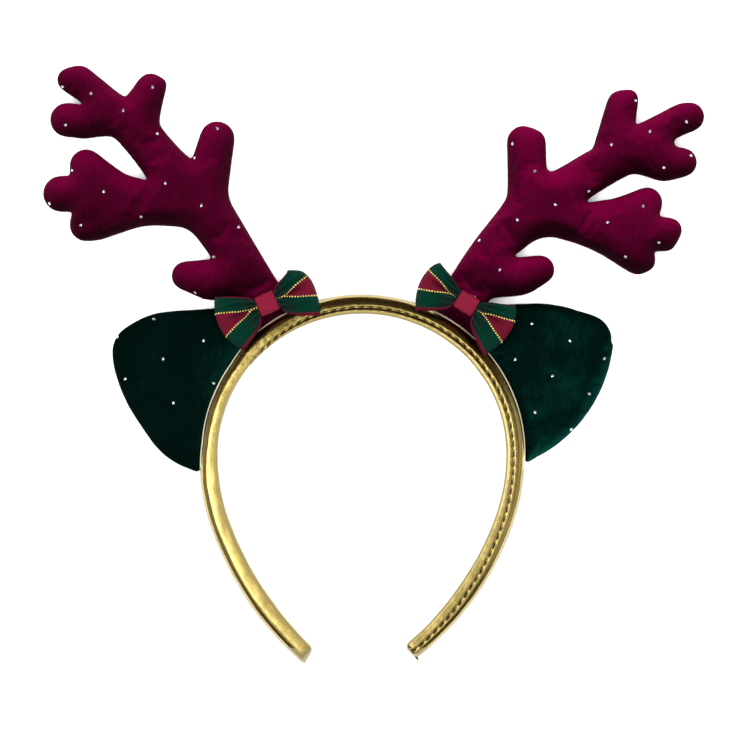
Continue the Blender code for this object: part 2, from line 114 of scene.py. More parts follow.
# Velvet pieces: how the two layers of cloth stand off the seam.
Stuffing = namedtuple("Stuffing", "front back spacing rings pressure slack cap fill")
ANTLER_STUFFING = Stuffing(8.0, 8.2, 1.55, (0.45, 1.3), 5.0, -0.03, 1.6, 0.9)
EAR_STUFFING = Stuffing(3.4, 3.9, 1.7, (0.5, 1.5), 1.5, -0.02, 0.8, 0.5)
# How far the pile swells out over the seam, and over what distance.
EDGE_SWELL = 0.55
EDGE_REACH = 1.1
# An antler's root has this share of its full thickness for ROOT_LENGTH, and fills out over ROOT_FADE.
ROOT_FLATNESS = 0.58
ROOT_LENGTH = 13.0
ROOT_FADE = 14.0
# The cloth simulation's settings. The cloth is drawn ten times as big for it, and runs for these frames.
CLOTH = {
    "vertex_group_mass": "seam",
    "quality": 6,
    "mass": 0.2,
    "tension_stiffness": 12.0,
    "compression_stiffness": 12.0,
    "shear_stiffness": 4.0,
    "bending_stiffness": 0.35,
    "use_pressure": True,
}
CLOTH_SCALE = 10.0
CLOTH_FRAMES = 20
# Painted light on the velvet: the direction (x, y, z) that its lighter side faces, the far side painted
# darker; then how patchy the pile's tone is and the turn of its strokes in radians.
NapAndPaintedLight = namedtuple("NapAndPaintedLight", "lean patch turn")
NAPS_AND_PAINTED_LIGHT = {
    "antler_left": NapAndPaintedLight((-0.10, 0.60, 0.0), 0.6, 0.3),
    "antler_right": NapAndPaintedLight((0.05, 0.80, 0.12), 0.6, 0.3),
    "ear_left": NapAndPaintedLight((0.28, -0.25, -0.10), 1.1, 0.5),
    "ear_right": NapAndPaintedLight((0.55, -0.85, 0.03), 1.1, -0.6),
}
# Long shallow creases in the antlers' upper side, from the hoop's middle.
Dent = namedtuple("Dent", "x y depth length width turn_deg")
ANTLER_DENTS = {
    "antler_left": (
        Dent(-112.0, 93.5, 0.9, 9.0, 3.0, 20.0),
        Dent(-58.0, 66.0, 0.8, 8.0, 2.4, 75.0),
        Dent(-100.0, 60.0, 0.7, 9.0, 2.6, -10.0),
    ),
    "antler_right": (
        Dent(83.0, 68.0, 1.1, 10.0, 2.4, 65.0),
        Dent(104.0, 50.0, 0.9, 9.0, 2.6, 30.0),
        Dent(55.0, 46.0, 0.8, 8.0, 2.2, 10.0),
    ),
}

# The bows, as in the CAD: places are from the hoop's middle, sizes in millimetres.
Bow = namedtuple("Bow", "name x y seat_z turn_deg knot_length knot_height sewn_to")
Loop = namedtuple(
    "Loop", "bow side reach top bottom top_set_back bottom_set_back top_fan bottom_fan rounding"
)
BOWS = (
    Bow("bow_left", -37.8, 62.0, 9.75, 23.6, 7.9, 8.4, "antler_left"),
    Bow("bow_right", 41.7, 62.1, 10.45, -31.5, 8.3, 7.8, "antler_right"),
)
LOOPS = (
    Loop("bow_left", LEFT, 21.0, 10.6, 12.9, 2.8, 4.9, 0.6, 0.4, 0.3),
    Loop("bow_left", RIGHT, 19.8, 8.8, 12.0, 3.6, 2.4, 0.55, 0.4, 3.6),
    Loop("bow_right", LEFT, 20.2, 8.2, 12.5, 1.8, 4.6, 0.75, 0.45, 0.9),
    Loop("bow_right", RIGHT, 20.6, 9.3, 13.6, 3.0, 3.8, 0.7, 0.45, 0.6),
)
# Thickness of the CAD ribbon and of the knot, and the gap between neighbours.
CAD_WALL = 1.0
KNOT_WALL = 1.0
GAP = 0.3
# The pinch: its layers' distance from the middle, its clearance from the knot's ends and the inset.
PINCH_LIFT = 0.9
PINCH_CLEARANCE = 0.4
PINCH_INSET = 1.2
# How far a loop stands off in front and behind, the share of its reach where it is highest, and its crease.
LOOP_PUFF = 3.0
LOOP_BACK_PUFF = 1.7
LOOP_CREST = 0.58
CREASE_DEPTH = 0.9
PLEAT_TURN = 17.0
KNOT_SWELL = 0.3
KNOT_RIDGE = 0.10
# How nearly square the knot is seen from its end: 2 would be round.
KNOT_SQUARENESS = 5
KNOT_RINGS = 13
KNOT_POINTS = 48
# Places across half the ribbon, from 0 to 1: the gold thread, and the stripe tucked away at the pinch.
GOLD_THREAD_ACROSS = 0.42
TUCKED_STRIPE = 0.41
TUCK_REACH = 0.84
RIBBON_COLUMNS = 44
ACROSS = np.linspace(-1.0, 1.0, RIBBON_COLUMNS + 1)
# The knot's ribbon: its width with the edges folded under, in metres, and its length for each millimetre of
# the knot's height and thickness, whose corners are rounded.
WRAP_SHARE = 1.86

# Silver dots on the velvet, from the hoop's middle. Behind, every second one is repeated a little way off,
# where the cloth is at least this far above the table, in metres.
CLEAR_OF_TABLE = 0.0012
BEHIND = (3.1, -2.3)
DOTS = {
    "antler_left": (
        (-119.7, 148.7), (-108.0, 145.7), (-95.1, 138.7), (-83.4, 148.2), (-118.2, 133.2), (-81.6, 129.6),
        (-57.7, 131.8), (-66.8, 120.1), (-53.1, 111.1), (-115.6, 115.1), (-102.7, 106.5), (-124.8, 102.0),
        (-112.1, 93.2), (-88.0, 96.5), (-78.2, 109.8), (-63.9, 101.0), (-49.2, 92.5), (-59.1, 80.6),
        (-66.7, 66.4), (-37.7, 53.8),
    ),
    "antler_right": (
        (109.3, 143.1), (129.4, 134.6), (114.6, 130.4), (99.4, 125.2), (120.3, 116.1), (131.4, 121.1),
        (60.1, 125.8), (68.9, 114.7), (90.5, 106.7), (77.0, 101.3), (61.9, 95.3), (112.0, 100.8),
        (97.8, 94.3), (118.3, 86.3), (105.0, 80.6), (46.9, 87.2), (54.9, 75.4), (44.8, 64.6),
    ),
    "ear_left": (
        (-83.2, 55.9), (-97.8, 48.7), (-79.6, 39.9), (-63.3, 47.2), (-94.7, 32.0), (-59.4, 30.2),
        (-75.4, 22.3),
    ),
    "ear_right": (
        (68.0, 54.0), (83.2, 47.2), (61.3, 39.7), (97.0, 40.0), (76.2, 33.1), (91.0, 25.9), (69.3, 18.5),
        (83.8, 11.7),
    ),
}


def length(name, description, default):
    return FloatProperty(name=name, description=description, default=default, unit="LENGTH")


def shade(name, description, default):
    return FloatVectorProperty(name=name, description=description, default=default, subtype="COLOR")


class HoopSettings(bpy.types.PropertyGroup):
    width: length("Width", "Width of the sleeve across the head, off the table", BAND_HIGH.z - BAND_LOW.z)
    outer_rounding: length("Outer rounding", "Radius of the sleeve's outer edges", 0.0036)
    inner_rounding: length("Inner rounding", "Radius of the edges next to the head", 0.0007)
    seam_depth: length("Seam depth", "How far the seam pulls the sleeve in", 0.00065)
    stitch_pitch: length("Stitch pitch", "Distance from one stitch to the next", 0.0038)
    stitch_length: length("Stitch length", "Length of thread that shows", 0.0020)
    thread_width: length("Thread width", "Thickness of the sewing thread", 0.00042)
    gold: shade("Gold", "Colour of the metallic leathercloth", (0.42, 0.32, 0.085))
    # Painted edge colours: a pale painted highlight on the sleeve's edges beside the ears, and a dark
    # painted shade on its other edges.
    painted_rim_highlight: shade("Worn edge", "Colour of the sleeve's rubbed edges", (0.95, 0.86, 0.62))
    painted_edge_shade: shade("Dull edge", "Colour of the sleeve's other edges", (0.165, 0.132, 0.046))
    thread: shade("Thread", "Colour of the sewing thread", (0.012, 0.005, 0.001))


class VelvetSettings(bpy.types.PropertyGroup):
    seam_inset: length("Seam inset", "How far the seam sits inside the pile", 0.0003)
    # The shadow and lit colours are painted shade and painted light: the lit colour goes where the surface
    # faces the painted light's side, the shadow colour where it faces away or is seen edge-on.
    burgundy_shadow: shade("Burgundy shadow", "Colour of the antlers in the dark", (0.005, 0.0, 0.0012))
    burgundy: shade("Burgundy", "Colour deep in the antlers' pile", (0.027, 0.0, 0.0062))
    burgundy_lit: shade("Lit burgundy", "Colour where the antlers' pile leans away", (0.105, 0.0, 0.0225))
    burgundy_sheen: shade("Burgundy sheen", "Tint of the light on the antlers", (0.36, 0.0, 0.085))
    # The shadow and lit colours are painted shade and painted light: the lit colour goes where the surface
    # faces the painted light's side, the shadow colour where it faces away or is seen edge-on.
    green_shadow: shade("Green shadow", "Colour of the ears in the dark", (0.0, 0.0012, 0.001))
    green: shade("Green", "Colour deep in the ears' pile", (0.0, 0.0027, 0.0021))
    green_lit: shade("Lit green", "Colour where the ears' pile leans away", (0.001, 0.028, 0.021))
    green_sheen: shade("Green sheen", "Tint of the light on the ears", (0.0, 0.10, 0.06))


class BowSettings(bpy.types.PropertyGroup):
    ribbon_width: length("Ribbon width", "Width of the ribbon, cut", 0.025)
    ribbon_thickness: length("Ribbon thickness", "Thickness of the ribbon", 0.0005)
    back_drop: length("Back drop", "How far each loop's back layer shows below its front", 0.0008)
    pleat_depth: length("Pleat depth", "Height of the gathers beside the knot", 0.00062)
    rib_pitch: length("Rib pitch", "Distance between the ribbon's woven ribs", 0.0007)
    thread_pitch: length("Gold thread pitch", "Distance between the gold thread's glints", 0.0011)
    thread_width: length("Gold thread width", "Width of the gold thread", 0.0008)
    crimson: shade("Crimson", "Colour of the ribbon's red stripes", (0.094, 0.0034, 0.0138))
    green: shade("Green", "Colour of the ribbon's green stripes", (0.0, 0.0205, 0.0122))
    gold: shade("Gold thread", "Colour of the metallic thread", (0.95, 0.74, 0.20))


class DotSettings(bpy.types.PropertyGroup):
    size: length("Size", "Width of a silver dot", 0.0015)
    height: length("Height", "How far a dot stands up", 0.0006)
    seed: IntProperty(name="Seed", description="Turns the dots differently", default=7)
    silver: shade("Silver", "Colour of the dots", (0.86, 0.90, 0.90))


def radiance(name, description, default):
    return FloatProperty(name=name, description=description, default=default)


class StageSettings(bpy.types.PropertyGroup):
    view_width: length("View width", "Width of the picture at the headband", 0.300)
    camera_height: length("Camera height", "Height of the camera above the table", 1.5)
    floor: shade("Floor", "Colour of the table", (0.93, 0.93, 0.93))
    overhead: radiance("Overhead", "Radiance of the softbox overhead", 0.98)
    strip: radiance("Strip", "Radiance of the bright strip at the left", 5.6)
    right_card: radiance("Right card", "Radiance of the card at the right", 0.75)
    left_card: radiance("Left card", "Radiance of the card at the left", 0.40)
    key: radiance("Key", "Radiance of the light beyond the antler tips", 4.0)
    fill: radiance("Fill", "Radiance of the even fill", 5.0)
    room: shade("Room", "Light from the dim room round the table", (0.07, 0.045, 0.035))


class HeadbandSettings(bpy.types.PropertyGroup):
    hoop: PointerProperty(type=HoopSettings)
    velvet: PointerProperty(type=VelvetSettings)
    bows: PointerProperty(type=BowSettings)
    dots: PointerProperty(type=DotSettings)
    stage: PointerProperty(type=StageSettings)


class Wire:
    """A shader socket whose maths is written as an expression."""

    def __init__(self, finish, socket):
        self.finish = finish
        self.socket = socket

    def maths(self, operation, first, second):
        return self.finish.node("ShaderNodeMath", {"operation": operation}, {0: first, 1: second})

    def __add__(self, other):
        return self.maths("ADD", self, other)

    def __sub__(self, other):
        return self.maths("SUBTRACT", self, other)

    def __rsub__(self, other):
        return self.maths("SUBTRACT", other, self)

    def __mul__(self, other):
        return self.maths("MULTIPLY", self, other)

    def __pow__(self, other):
        return self.maths("POWER", self, other)

    def __abs__(self):
        return self.maths("ABSOLUTE", self, 0.0)

    __radd__ = __add__


class Finish:
    """A material being drawn, with one method for every kind of node."""

    def __init__(self, name, **constants):
        self.material = bpy.data.materials.new(name)
        self.material.use_nodes = True
        self.tree = self.material.node_tree
        self.surface = self.tree.nodes["Principled BSDF"]
        for socket, value in constants.items():
            self.fill(self.surface.inputs[socket.replace("_", " ")], value)

    def fill(self, socket, value):
        if isinstance(value, Wire):
            self.tree.links.new(value.socket, socket)
        elif hasattr(value, "__len__") and socket.type == "RGBA":
            socket.default_value = (*value[:3], 1.0)
        else:
            socket.default_value = value

    def node(self, kind, settings=None, sockets=None, output=0):
        made = self.tree.nodes.new(kind)
        for name, value in (settings or {}).items():
            setattr(made, name, value)
        for key, value in (sockets or {}).items():
            self.fill(made.inputs[key], value)
        return Wire(self, made.outputs[output])

    def place(self, kind="Object"):
        return self.node("ShaderNodeTexCoord", output=kind)

    def parts(self, vector):
        split = self.node("ShaderNodeSeparateXYZ", None, {0: vector})
        return [Wire(self, output) for output in split.socket.node.outputs]

    def grain(self, where, scale, detail=2.0, roughness=0.5):
        sockets = {"Vector": where, "Scale": scale, "Detail": detail, "Roughness": roughness}
        return self.node("ShaderNodeTexNoise", None, sockets)

    def step(self, value, low, high):
        """0 below low, 1 above high, and a straight ramp between them."""
        return self.node("ShaderNodeMapRange", None, {"Value": value, "From Min": low, "From Max": high})

    def blend(self, mask, first, second):
        return self.node("ShaderNodeMix", {"data_type": "RGBA"}, {0: mask, 6: first, 7: second}, output=2)

    def colour(self, value):
        self.fill(self.surface.inputs["Base Color"], value)

    def roughness(self, value):
        self.fill(self.surface.inputs["Roughness"], value)

    def relief(self, height, distance, strength=1.0):
        sockets = {"Height": height, "Distance": distance, "Strength": strength}
        self.fill(self.surface.inputs["Normal"], self.node("ShaderNodeBump", None, sockets))

    def ribs(self, run, count):
        """A wave between -1 and 1 that repeats count times for each unit of run."""
        return self.node("ShaderNodeMath", {"operation": "SINE"}, {0: run * (2.0 * math.pi * count)})

    def stretched(self, where, scale, turn=0.0):
        """Coordinates scaled by (x, y, z) after a turn about Z."""
        return self.node(
            "ShaderNodeMapping", None, {"Vector": where, "Rotation": (0.0, 0.0, turn), "Scale": scale}
        )


def darker(colour, share):
    return [channel * share for channel in colour]


def gold_finish(hoop):
    """Metallic leathercloth: fine grain, wrinkles across the hoop and slightly worn gloss. Its edges are
    painted: a pale painted highlight beside the ears and a dark painted shade elsewhere.
    """
    finish = Finish("gold_leathercloth", Coat_Weight=0.7, Coat_Roughness=0.18)
    where = finish.place()
    grain = finish.grain(where, 2600.0, 3.0)
    wrinkles = finish.grain(finish.stretched(finish.place("UV"), (15.0, 9.0, 1.0)), 1.0, 2.0, 0.6)
    wear = finish.grain(where, 60.0, 3.0)
    across, along, upwards = finish.parts(finish.place("Normal"))
    x, y, _ = finish.parts(where)
    away = across * (x - HOOP_CENTRE.x * MM) + along * (y - HOOP_CENTRE.y * MM)
    round_section = finish.parts(finish.place("UV"))[1]
    off_seam = 1.0 - finish.step(abs(round_section - 0.5), 0.462, 0.478)
    inner = (1.0 - finish.step(away, -0.004, -0.001) * finish.step(y, *WRAPPED_END)) * off_seam
    along_ears = finish.step(y, *EAR_FOOT) * (1.0 - finish.step(y, *EAR_HEAD))
    beside_ears = along_ears * finish.step(away, 0.0, 0.004)
    # The painted edge begins where the surface faces up less than this; it is widest on the side next to
    # the head.
    threshold = 0.56 + inner * 0.37 - beside_ears * 0.12
    turned_down = finish.step((upwards - threshold) * -1.0, -0.10, 0.02)
    edge = turned_down * finish.step(upwards, -0.25, 0.05) * off_seam
    body = finish.blend(finish.step(wear, 0.35, 0.7), hoop.gold, darker(hoop.gold, 0.84))
    # Painted edges, with the metal taken off: a pale painted highlight beside the ears and a dark painted
    # shade on the other edges.
    finish.colour(finish.blend(edge, body, finish.blend(beside_ears, hoop.painted_edge_shade, hoop.painted_rim_highlight)))
    finish.fill(finish.surface.inputs["Metallic"], 1.0 - edge)
    finish.roughness(0.13 + wear * 0.10 + grain * 0.06)
    finish.relief(grain * 0.35 + wrinkles * 0.12, 0.00016, 0.8)
    return finish.material


def thread_finish(colour):
    """Twisted sewing thread."""
    finish = Finish("sewing_thread", Roughness=0.6, Specular_IOR_Level=0.1)
    where = finish.place()
    strands = finish.grain(where, 3200.0, 2.0)
    finish.colour(finish.blend(strands, darker(colour, 0.6), darker(colour, 1.6)))
    finish.relief(strands, 0.0001)
    return finish.material


def velvet_finish(name, shades, sheen, nap_and_light):
    """Short dense pile with patchy tone, painted darker where it is seen from the side, and painted lighter
    on the side that faces the given direction and darker on the other.
    """
    shadow, deep, lit = shades
    finish = Finish(name, Sheen_Weight=0.10, Sheen_Roughness=0.4, Specular_IOR_Level=0.03, Roughness=0.95)
    finish.fill(finish.surface.inputs["Sheen Tint"], sheen)
    where = finish.place()
    patches = finish.grain(where, 42.0, 3.0, 0.6) - 0.5
    strokes = finish.grain(finish.stretched(where, (1.0, 0.25, 1.0), nap_and_light.turn), 1100.0, 3.0, 0.6) - 0.5
    pile = finish.grain(where, 2600.0, 2.0) - 0.5
    across, along, upwards = finish.parts(finish.place("Normal"))
    # Painted light and shade: faces turned towards the lean direction are drawn lighter and faces turned
    # away darker, mixed with the pile's random tone.
    faces_painted_light = across * nap_and_light.lean[0] + along * nap_and_light.lean[1] + upwards * nap_and_light.lean[2]
    lean = faces_painted_light + patches * nap_and_light.patch + strokes * 0.45 + pile * 0.55
    body = finish.blend(finish.step(lean, -0.46, 0.04), shadow, deep)
    with_painted_light = finish.blend(finish.step(lean, 0.02, 0.80) ** 1.25, body, lit)
    # Painted shade: where the surface is seen edge-on, the colour goes most of the way to the shadow
    # colour.
    facing = finish.node("ShaderNodeLayerWeight", None, {"Blend": 0.5}, output=1)
    finish.colour(finish.blend(finish.step(facing, 0.62, 0.90) * 0.8, with_painted_light, shadow))
    finish.relief(pile + strokes * 0.6, 0.00018, 0.7)
    return finish.material


def ribbon_finish(bows):
    """Woven ribbon: crimson between green stripes, thin crimson edges and ribs across it, with painted
    shade in the fold beside the knot.
    """
    finish = Finish("striped_grosgrain", Specular_IOR_Level=0.08)
    along, across, _ = finish.parts(finish.place("UV"))
    from_middle = abs(across - 0.5) * 2.0
    threads = finish.grain(finish.place(), 2400.0, 2.0)
    ribs = finish.ribs(along, 10.0)
    to_edge = abs(across - 0.509) * 2.0
    stripe = finish.step(from_middle, 0.40, 0.412) * (1.0 - finish.step(to_edge, 0.957, 0.969))
    dyed = finish.blend(stripe, bows.crimson, bows.green)
    weave = finish.step(threads * 0.7 + ribs * 0.3, 0.05, 0.75)
    shaded = finish.blend(weave, (0.42, 0.42, 0.42), (1.25, 1.25, 1.25))
    multiply = {"data_type": "RGBA", "blend_type": "MULTIPLY"}
    woven = finish.node("ShaderNodeMix", multiply, {0: 1.0, 6: dyed, 7: shaded}, output=2)
    # Painted shade: the strip's crease attribute darkens the colour deep in the fold and beside the knot.
    crease = finish.node("ShaderNodeAttribute", {"attribute_name": "crease"}, output=2)
    finish.colour(finish.blend(crease * 0.85, woven, (0.012, 0.001, 0.004)))
    finish.roughness(0.52 + threads * 0.2)
    finish.relief(ribs * 0.6 + threads * 0.4, 0.0002, 0.9)
    return finish.material


def knot_finish(bows):
    """The same ribbon's plain crimson, wrapped over the pinch."""
    finish = Finish("crimson_grosgrain", Specular_IOR_Level=0.1)
    ribs = finish.ribs(finish.parts(finish.place("UV"))[1], 44.0)
    threads = finish.grain(finish.place(), 2600.0, 2.0)
    weave = finish.step(threads + ribs * 0.1, 0.3, 0.75)
    finish.colour(finish.blend(weave, darker(bows.crimson, 0.9), darker(bows.crimson, 1.4)))
    finish.roughness(0.5 + threads * 0.2)
    finish.relief(ribs * 0.5 + threads * 0.4, 0.00012, 0.7)
    return finish.material


def gold_thread_finish(bows):
    finish = Finish("gold_thread", Metallic=0.45)
    glints = finish.grain(finish.place(), 1500.0, 2.0)
    finish.colour(finish.blend(finish.step(glints, 0.35, 0.6), darker(bows.gold, 0.35), bows.gold))
    finish.roughness(0.2 + glints * 0.25)
    return finish.material


def silver_finish(dots):
    finish = Finish("silver_glitter", Metallic=0.9)
    glints = finish.grain(finish.place(), 1800.0, 1.0)
    finish.colour(finish.blend(glints, darker(dots.silver, 0.75), dots.silver))
    finish.roughness(0.12 + glints * 0.3)
    return finish.material


def floor_finish(colour):
    finish = Finish("pale_table", Roughness=0.75, Specular_IOR_Level=0.25)
    mottle = finish.grain(finish.place(), 3.0, 2.0)
    finish.colour(finish.blend(mottle, colour, darker(colour, 0.985)))
    return finish.material


def link(obj):
    bpy.context.scene.collection.objects.link(obj)
    return obj


def plain_mesh(name, points, faces):
    """A smooth-shaded mesh in metres from points in millimetres."""
    mesh = bpy.data.meshes.new(name)
    mesh.from_pydata([tuple(point) for point in np.asarray(points, float) * MM], [], faces)
    mesh.update()
    mesh.shade_smooth()
    return mesh


def grid_mesh(name, grid, rows_closed, columns_closed, row_marks, column_marks):
    """A mesh from a grid of points, with a UV map whose U follows row_marks and V column_marks."""
    rows, columns = grid.shape[:2]
    column_marks = np.broadcast_to(column_marks, (rows + 1, np.shape(column_marks)[-1]))
    faces = []
    corners = []
    for row in range(rows if rows_closed else rows - 1):
        for column in range(columns if columns_closed else columns - 1):
            face = []
            for r, c in ((row, column), (row, column + 1), (row + 1, column + 1), (row + 1, column)):
                face.append((r % rows) * columns + c % columns)
                corners.append((row_marks[r], column_marks[r, c]))
            faces.append(face)
    mesh = plain_mesh(name, grid.reshape(-1, 3), faces)
    uv = mesh.uv_layers.new(name="cloth")
    uv.data.foreach_set("uv", np.asarray(corners, float).ravel())
    return mesh


def outwards(mesh):
    """The same mesh with doubles merged and every face turned outwards."""
    bm = bmesh.new()
    bm.from_mesh(mesh)
    bmesh.ops.remove_doubles(bm, verts=bm.verts, dist=1e-7)
    bmesh.ops.recalc_face_normals(bm, faces=bm.faces)
    bm.to_mesh(mesh)
    bm.free()
    mesh.shade_smooth()
    return mesh


def as_evaluated(trial):
    """A new mesh of a trial object with its modifiers applied."""
    return bpy.data.meshes.new_from_object(trial.evaluated_get(bpy.context.evaluated_depsgraph_get()))


def with_modifier(name, mesh, kind, settings):
    """The mesh after one modifier."""
    trial = link(bpy.data.objects.new(name + "_trial", mesh))
    modifier = trial.modifiers.new(kind.lower(), kind)
    for setting, value in settings.items():
        setattr(modifier, setting, value)
    made = as_evaluated(trial)
    bpy.data.objects.remove(trial)
    bpy.data.meshes.remove(mesh)
    made.name = name
    return made


def add_piece(name, mesh, material, nodes=()):
    """A finished piece in the row's frame, riding on the headband's one body."""
    mesh.name = name
    mesh.materials.clear()
    mesh.materials.append(material)
    piece = link(bpy.data.objects.new(name, mesh))
    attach(piece, "root")
    if nodes:
        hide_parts(*nodes)
    return piece


class PathTree:
    """A Geometry Nodes tree: beads of one shape set along paths or on points, facing their normals."""

    SIZES = ("Pitch", "Length", "Width", "Height", "Lean")

    def __init__(self, name, along_path, segments, rings):
        self.tree = bpy.data.node_groups.new(name, "GeometryNodeTree")
        self.identifiers = {}
        self.add_input("Geometry", "NodeSocketGeometry")
        for size in self.SIZES:
            self.add_input(size, "NodeSocketFloat")
        self.add_input("Seed", "NodeSocketInt")
        self.add_input("Material", "NodeSocketMaterial")
        self.tree.interface.new_socket(name="Geometry", in_out="OUTPUT", socket_type="NodeSocketGeometry")
        self.group = self.tree.nodes.new("NodeGroupInput")
        self.build(along_path, segments, rings)

    def add_input(self, name, kind):
        socket = self.tree.interface.new_socket(name=name, in_out="INPUT", socket_type=kind)
        self.identifiers[name] = socket.identifier

    def node(self, kind, settings=None, sockets=None):
        made = self.tree.nodes.new(kind)
        for name, value in (settings or {}).items():
            setattr(made, name, value)
        for key, value in (sockets or {}).items():
            if isinstance(value, bpy.types.NodeSocket):
                self.tree.links.new(value, made.inputs[key])
            else:
                made.inputs[key].default_value = value
        return made.outputs

    def build(self, along_path, segments, rings):
        given = self.group.outputs
        points = given["Geometry"]
        vector = {"data_type": "FLOAT_VECTOR"}
        facing = self.node("GeometryNodeInputNamedAttribute", vector, {"Name": "facing"})
        heading = self.node("GeometryNodeInputNamedAttribute", vector, {"Name": "heading"})
        if along_path:
            curve = self.node("GeometryNodeMeshToCurve", None, {"Mesh": points})
            spaced = {"Curve": curve[0], "Length": given["Pitch"]}
            points = self.node("GeometryNodeResampleCurve", {"mode": "LENGTH"}, spaced)[0]
        turn = self.node(
            "FunctionNodeAxesToRotation",
            {"primary_axis": "Z", "secondary_axis": "X"},
            {"Primary Axis": facing["Attribute"], "Secondary Axis": heading["Attribute"]},
        )
        scatter = self.node(
            "FunctionNodeRandomValue",
            vector,
            {"Min": (-0.16, -0.16, -0.3), "Max": (0.16, 0.16, 0.3), "Seed": given["Seed"]},
        )
        lean = self.node("ShaderNodeCombineXYZ", None, {"Z": given["Lean"]})
        swing = self.node("ShaderNodeVectorMath", {"operation": "ADD"}, {0: scatter[0], 1: lean[0]})
        swing = self.node("FunctionNodeEulerToRotation", None, {0: swing[0]})
        turned = self.node(
            "FunctionNodeRotateRotation",
            {"rotation_space": "LOCAL"},
            {"Rotation": turn[0], "Rotate By": swing[0]},
        )
        ball = {"Segments": segments, "Rings": rings, "Radius": 0.5}
        bead = self.node("GeometryNodeMeshUVSphere", None, ball)
        size = self.node(
            "ShaderNodeCombineXYZ", None, {"X": given["Length"], "Y": given["Width"], "Z": given["Height"]}
        )
        placed = self.node(
            "GeometryNodeInstanceOnPoints",
            None,
            {"Points": points, "Instance": bead["Mesh"], "Rotation": turned[0], "Scale": size[0]},
        )
        real = self.node("GeometryNodeRealizeInstances", None, {"Geometry": placed[0]})
        material = {"Geometry": real[0], "Material": given["Material"]}
        final = self.node("GeometryNodeSetMaterial", None, material)
        out = self.tree.nodes.new("NodeGroupOutput")
        self.tree.links.new(final[0], out.inputs[0])

    def beads(self, name, lines, material, seed=1, **sizes):
        """One mesh of beads on lines of (place in millimetres, facing, heading)."""
        points, edges, facings, headings = [], [], [], []
        for line in lines:
            first = len(points)
            for place, facing, heading in line:
                points.append(tuple(component * MM for component in place))
                facings += facing
                headings += heading
            edges += [(i, i + 1) for i in range(first, len(points) - 1)]
        mesh = bpy.data.meshes.new(name + "_path")
        mesh.from_pydata(points, edges, [])
        for label, values in (("facing", facings), ("heading", headings)):
            mesh.attributes.new(label, "FLOAT_VECTOR", "POINT").data.foreach_set("vector", values)
        trial = link(bpy.data.objects.new(name + "_path", mesh))
        modifier = trial.modifiers.new("beads", "NODES")
        modifier.node_group = self.tree
        for size, value in sizes.items():
            modifier[self.identifiers[size]] = float(value)
        modifier[self.identifiers["Seed"]] = seed
        modifier[self.identifiers["Material"]] = material
        made = as_evaluated(trial)
        trial.modifiers.remove(modifier)
        bpy.data.objects.remove(trial)
        made.shade_smooth()
        return made


def hoop_point(side, turn_deg):
    """The point of the hoop's middle line at this turn from the crown."""
    arcs = HOOP_ARCS[side]
    centre = Vector((0.0, CROWN_RISE - CROWN_RADIUS))
    start = 0.0
    for (radius, sweep), following in zip(arcs, (*arcs[1:], None)):
        end = start + sweep
        if turn_deg <= end or following is None:
            break
        joint = math.radians(end)
        centre += Vector((math.sin(joint), math.cos(joint))) * (radius - following[0])
        start = end
    turn = math.radians(turn_deg)
    point = centre + Vector((math.sin(turn), math.cos(turn))) * radius
    return Vector((side * point.x, point.y)) + HOOP_CENTRE


def hoop_axes(side, turn_deg):
    """Unit vectors along the hoop, away from the crown, and outwards."""
    turn = math.radians(turn_deg)
    return Vector((side * math.cos(turn), -math.sin(turn))), Vector((side * math.sin(turn), math.cos(turn)))


def full_turn(side):
    """How far the hoop turns from the crown to its tip, in degrees."""
    return sum(sweep for _, sweep in HOOP_ARCS[side])


def distances_along(steps):
    """Distance travelled at the start and after each step."""
    return np.concatenate(([0.0], np.cumsum(steps)))


def sleeve_section(thickness, width, outer, inner):
    """Table of places and normals round the sleeve's section, from its outer edge over the top, and their
    distances round it."""
    pillow = PILLOW * thickness / GIRTHS[0]
    half = width / 2 - pillow
    table = [(thickness / 2, 0.0)]
    for quarter, size in enumerate((outer, inner, inner, outer)):
        out = (thickness / 2 - size) * (1 if quarter in (0, 3) else -1)
        up = (half - size) * (1 if quarter in (0, 1) else -1)
        for step in range(CORNER_STEPS + 1):
            angle = math.pi / 2 * (quarter + step / CORNER_STEPS)
            table.append((out + size * math.cos(angle), up + size * math.sin(angle)))
    table.append(table[0])
    table = np.array(table)
    distances = distances_along(np.hypot(*np.diff(table, axis=0).T))
    stops = np.linspace(0.0, distances[-1], SECTION_POINTS)
    out, up = (np.interp(stops, distances, table[:, axis]) for axis in (0, 1))
    reach = (out - PILLOW_CENTRE * thickness) / (thickness / 2 - PILLOW_CENTRE * thickness)
    up = up * (1.0 + pillow / half * np.maximum(0.0, 1.0 - reach**2))
    run_out, run_up = (np.roll(axis[:-1], -1) - np.roll(axis[:-1], 1) for axis in (out, up))
    size = np.hypot(run_out, run_up)
    normal_out, normal_up = (np.append(axis, axis[0]) for axis in (run_up / size, -run_out / size))
    steps = np.hypot(np.diff(out), np.diff(up))
    return np.column_stack((out, up, normal_out, normal_up)), distances_along(steps)


def section_at(section, distance):
    """(outwards, upwards, normal outwards, normal upwards) at distances round a section."""
    table, distances = section
    wrapped = np.mod(distance, distances[-1])
    return [np.interp(wrapped, distances, table[:, column]) for column in range(4)]


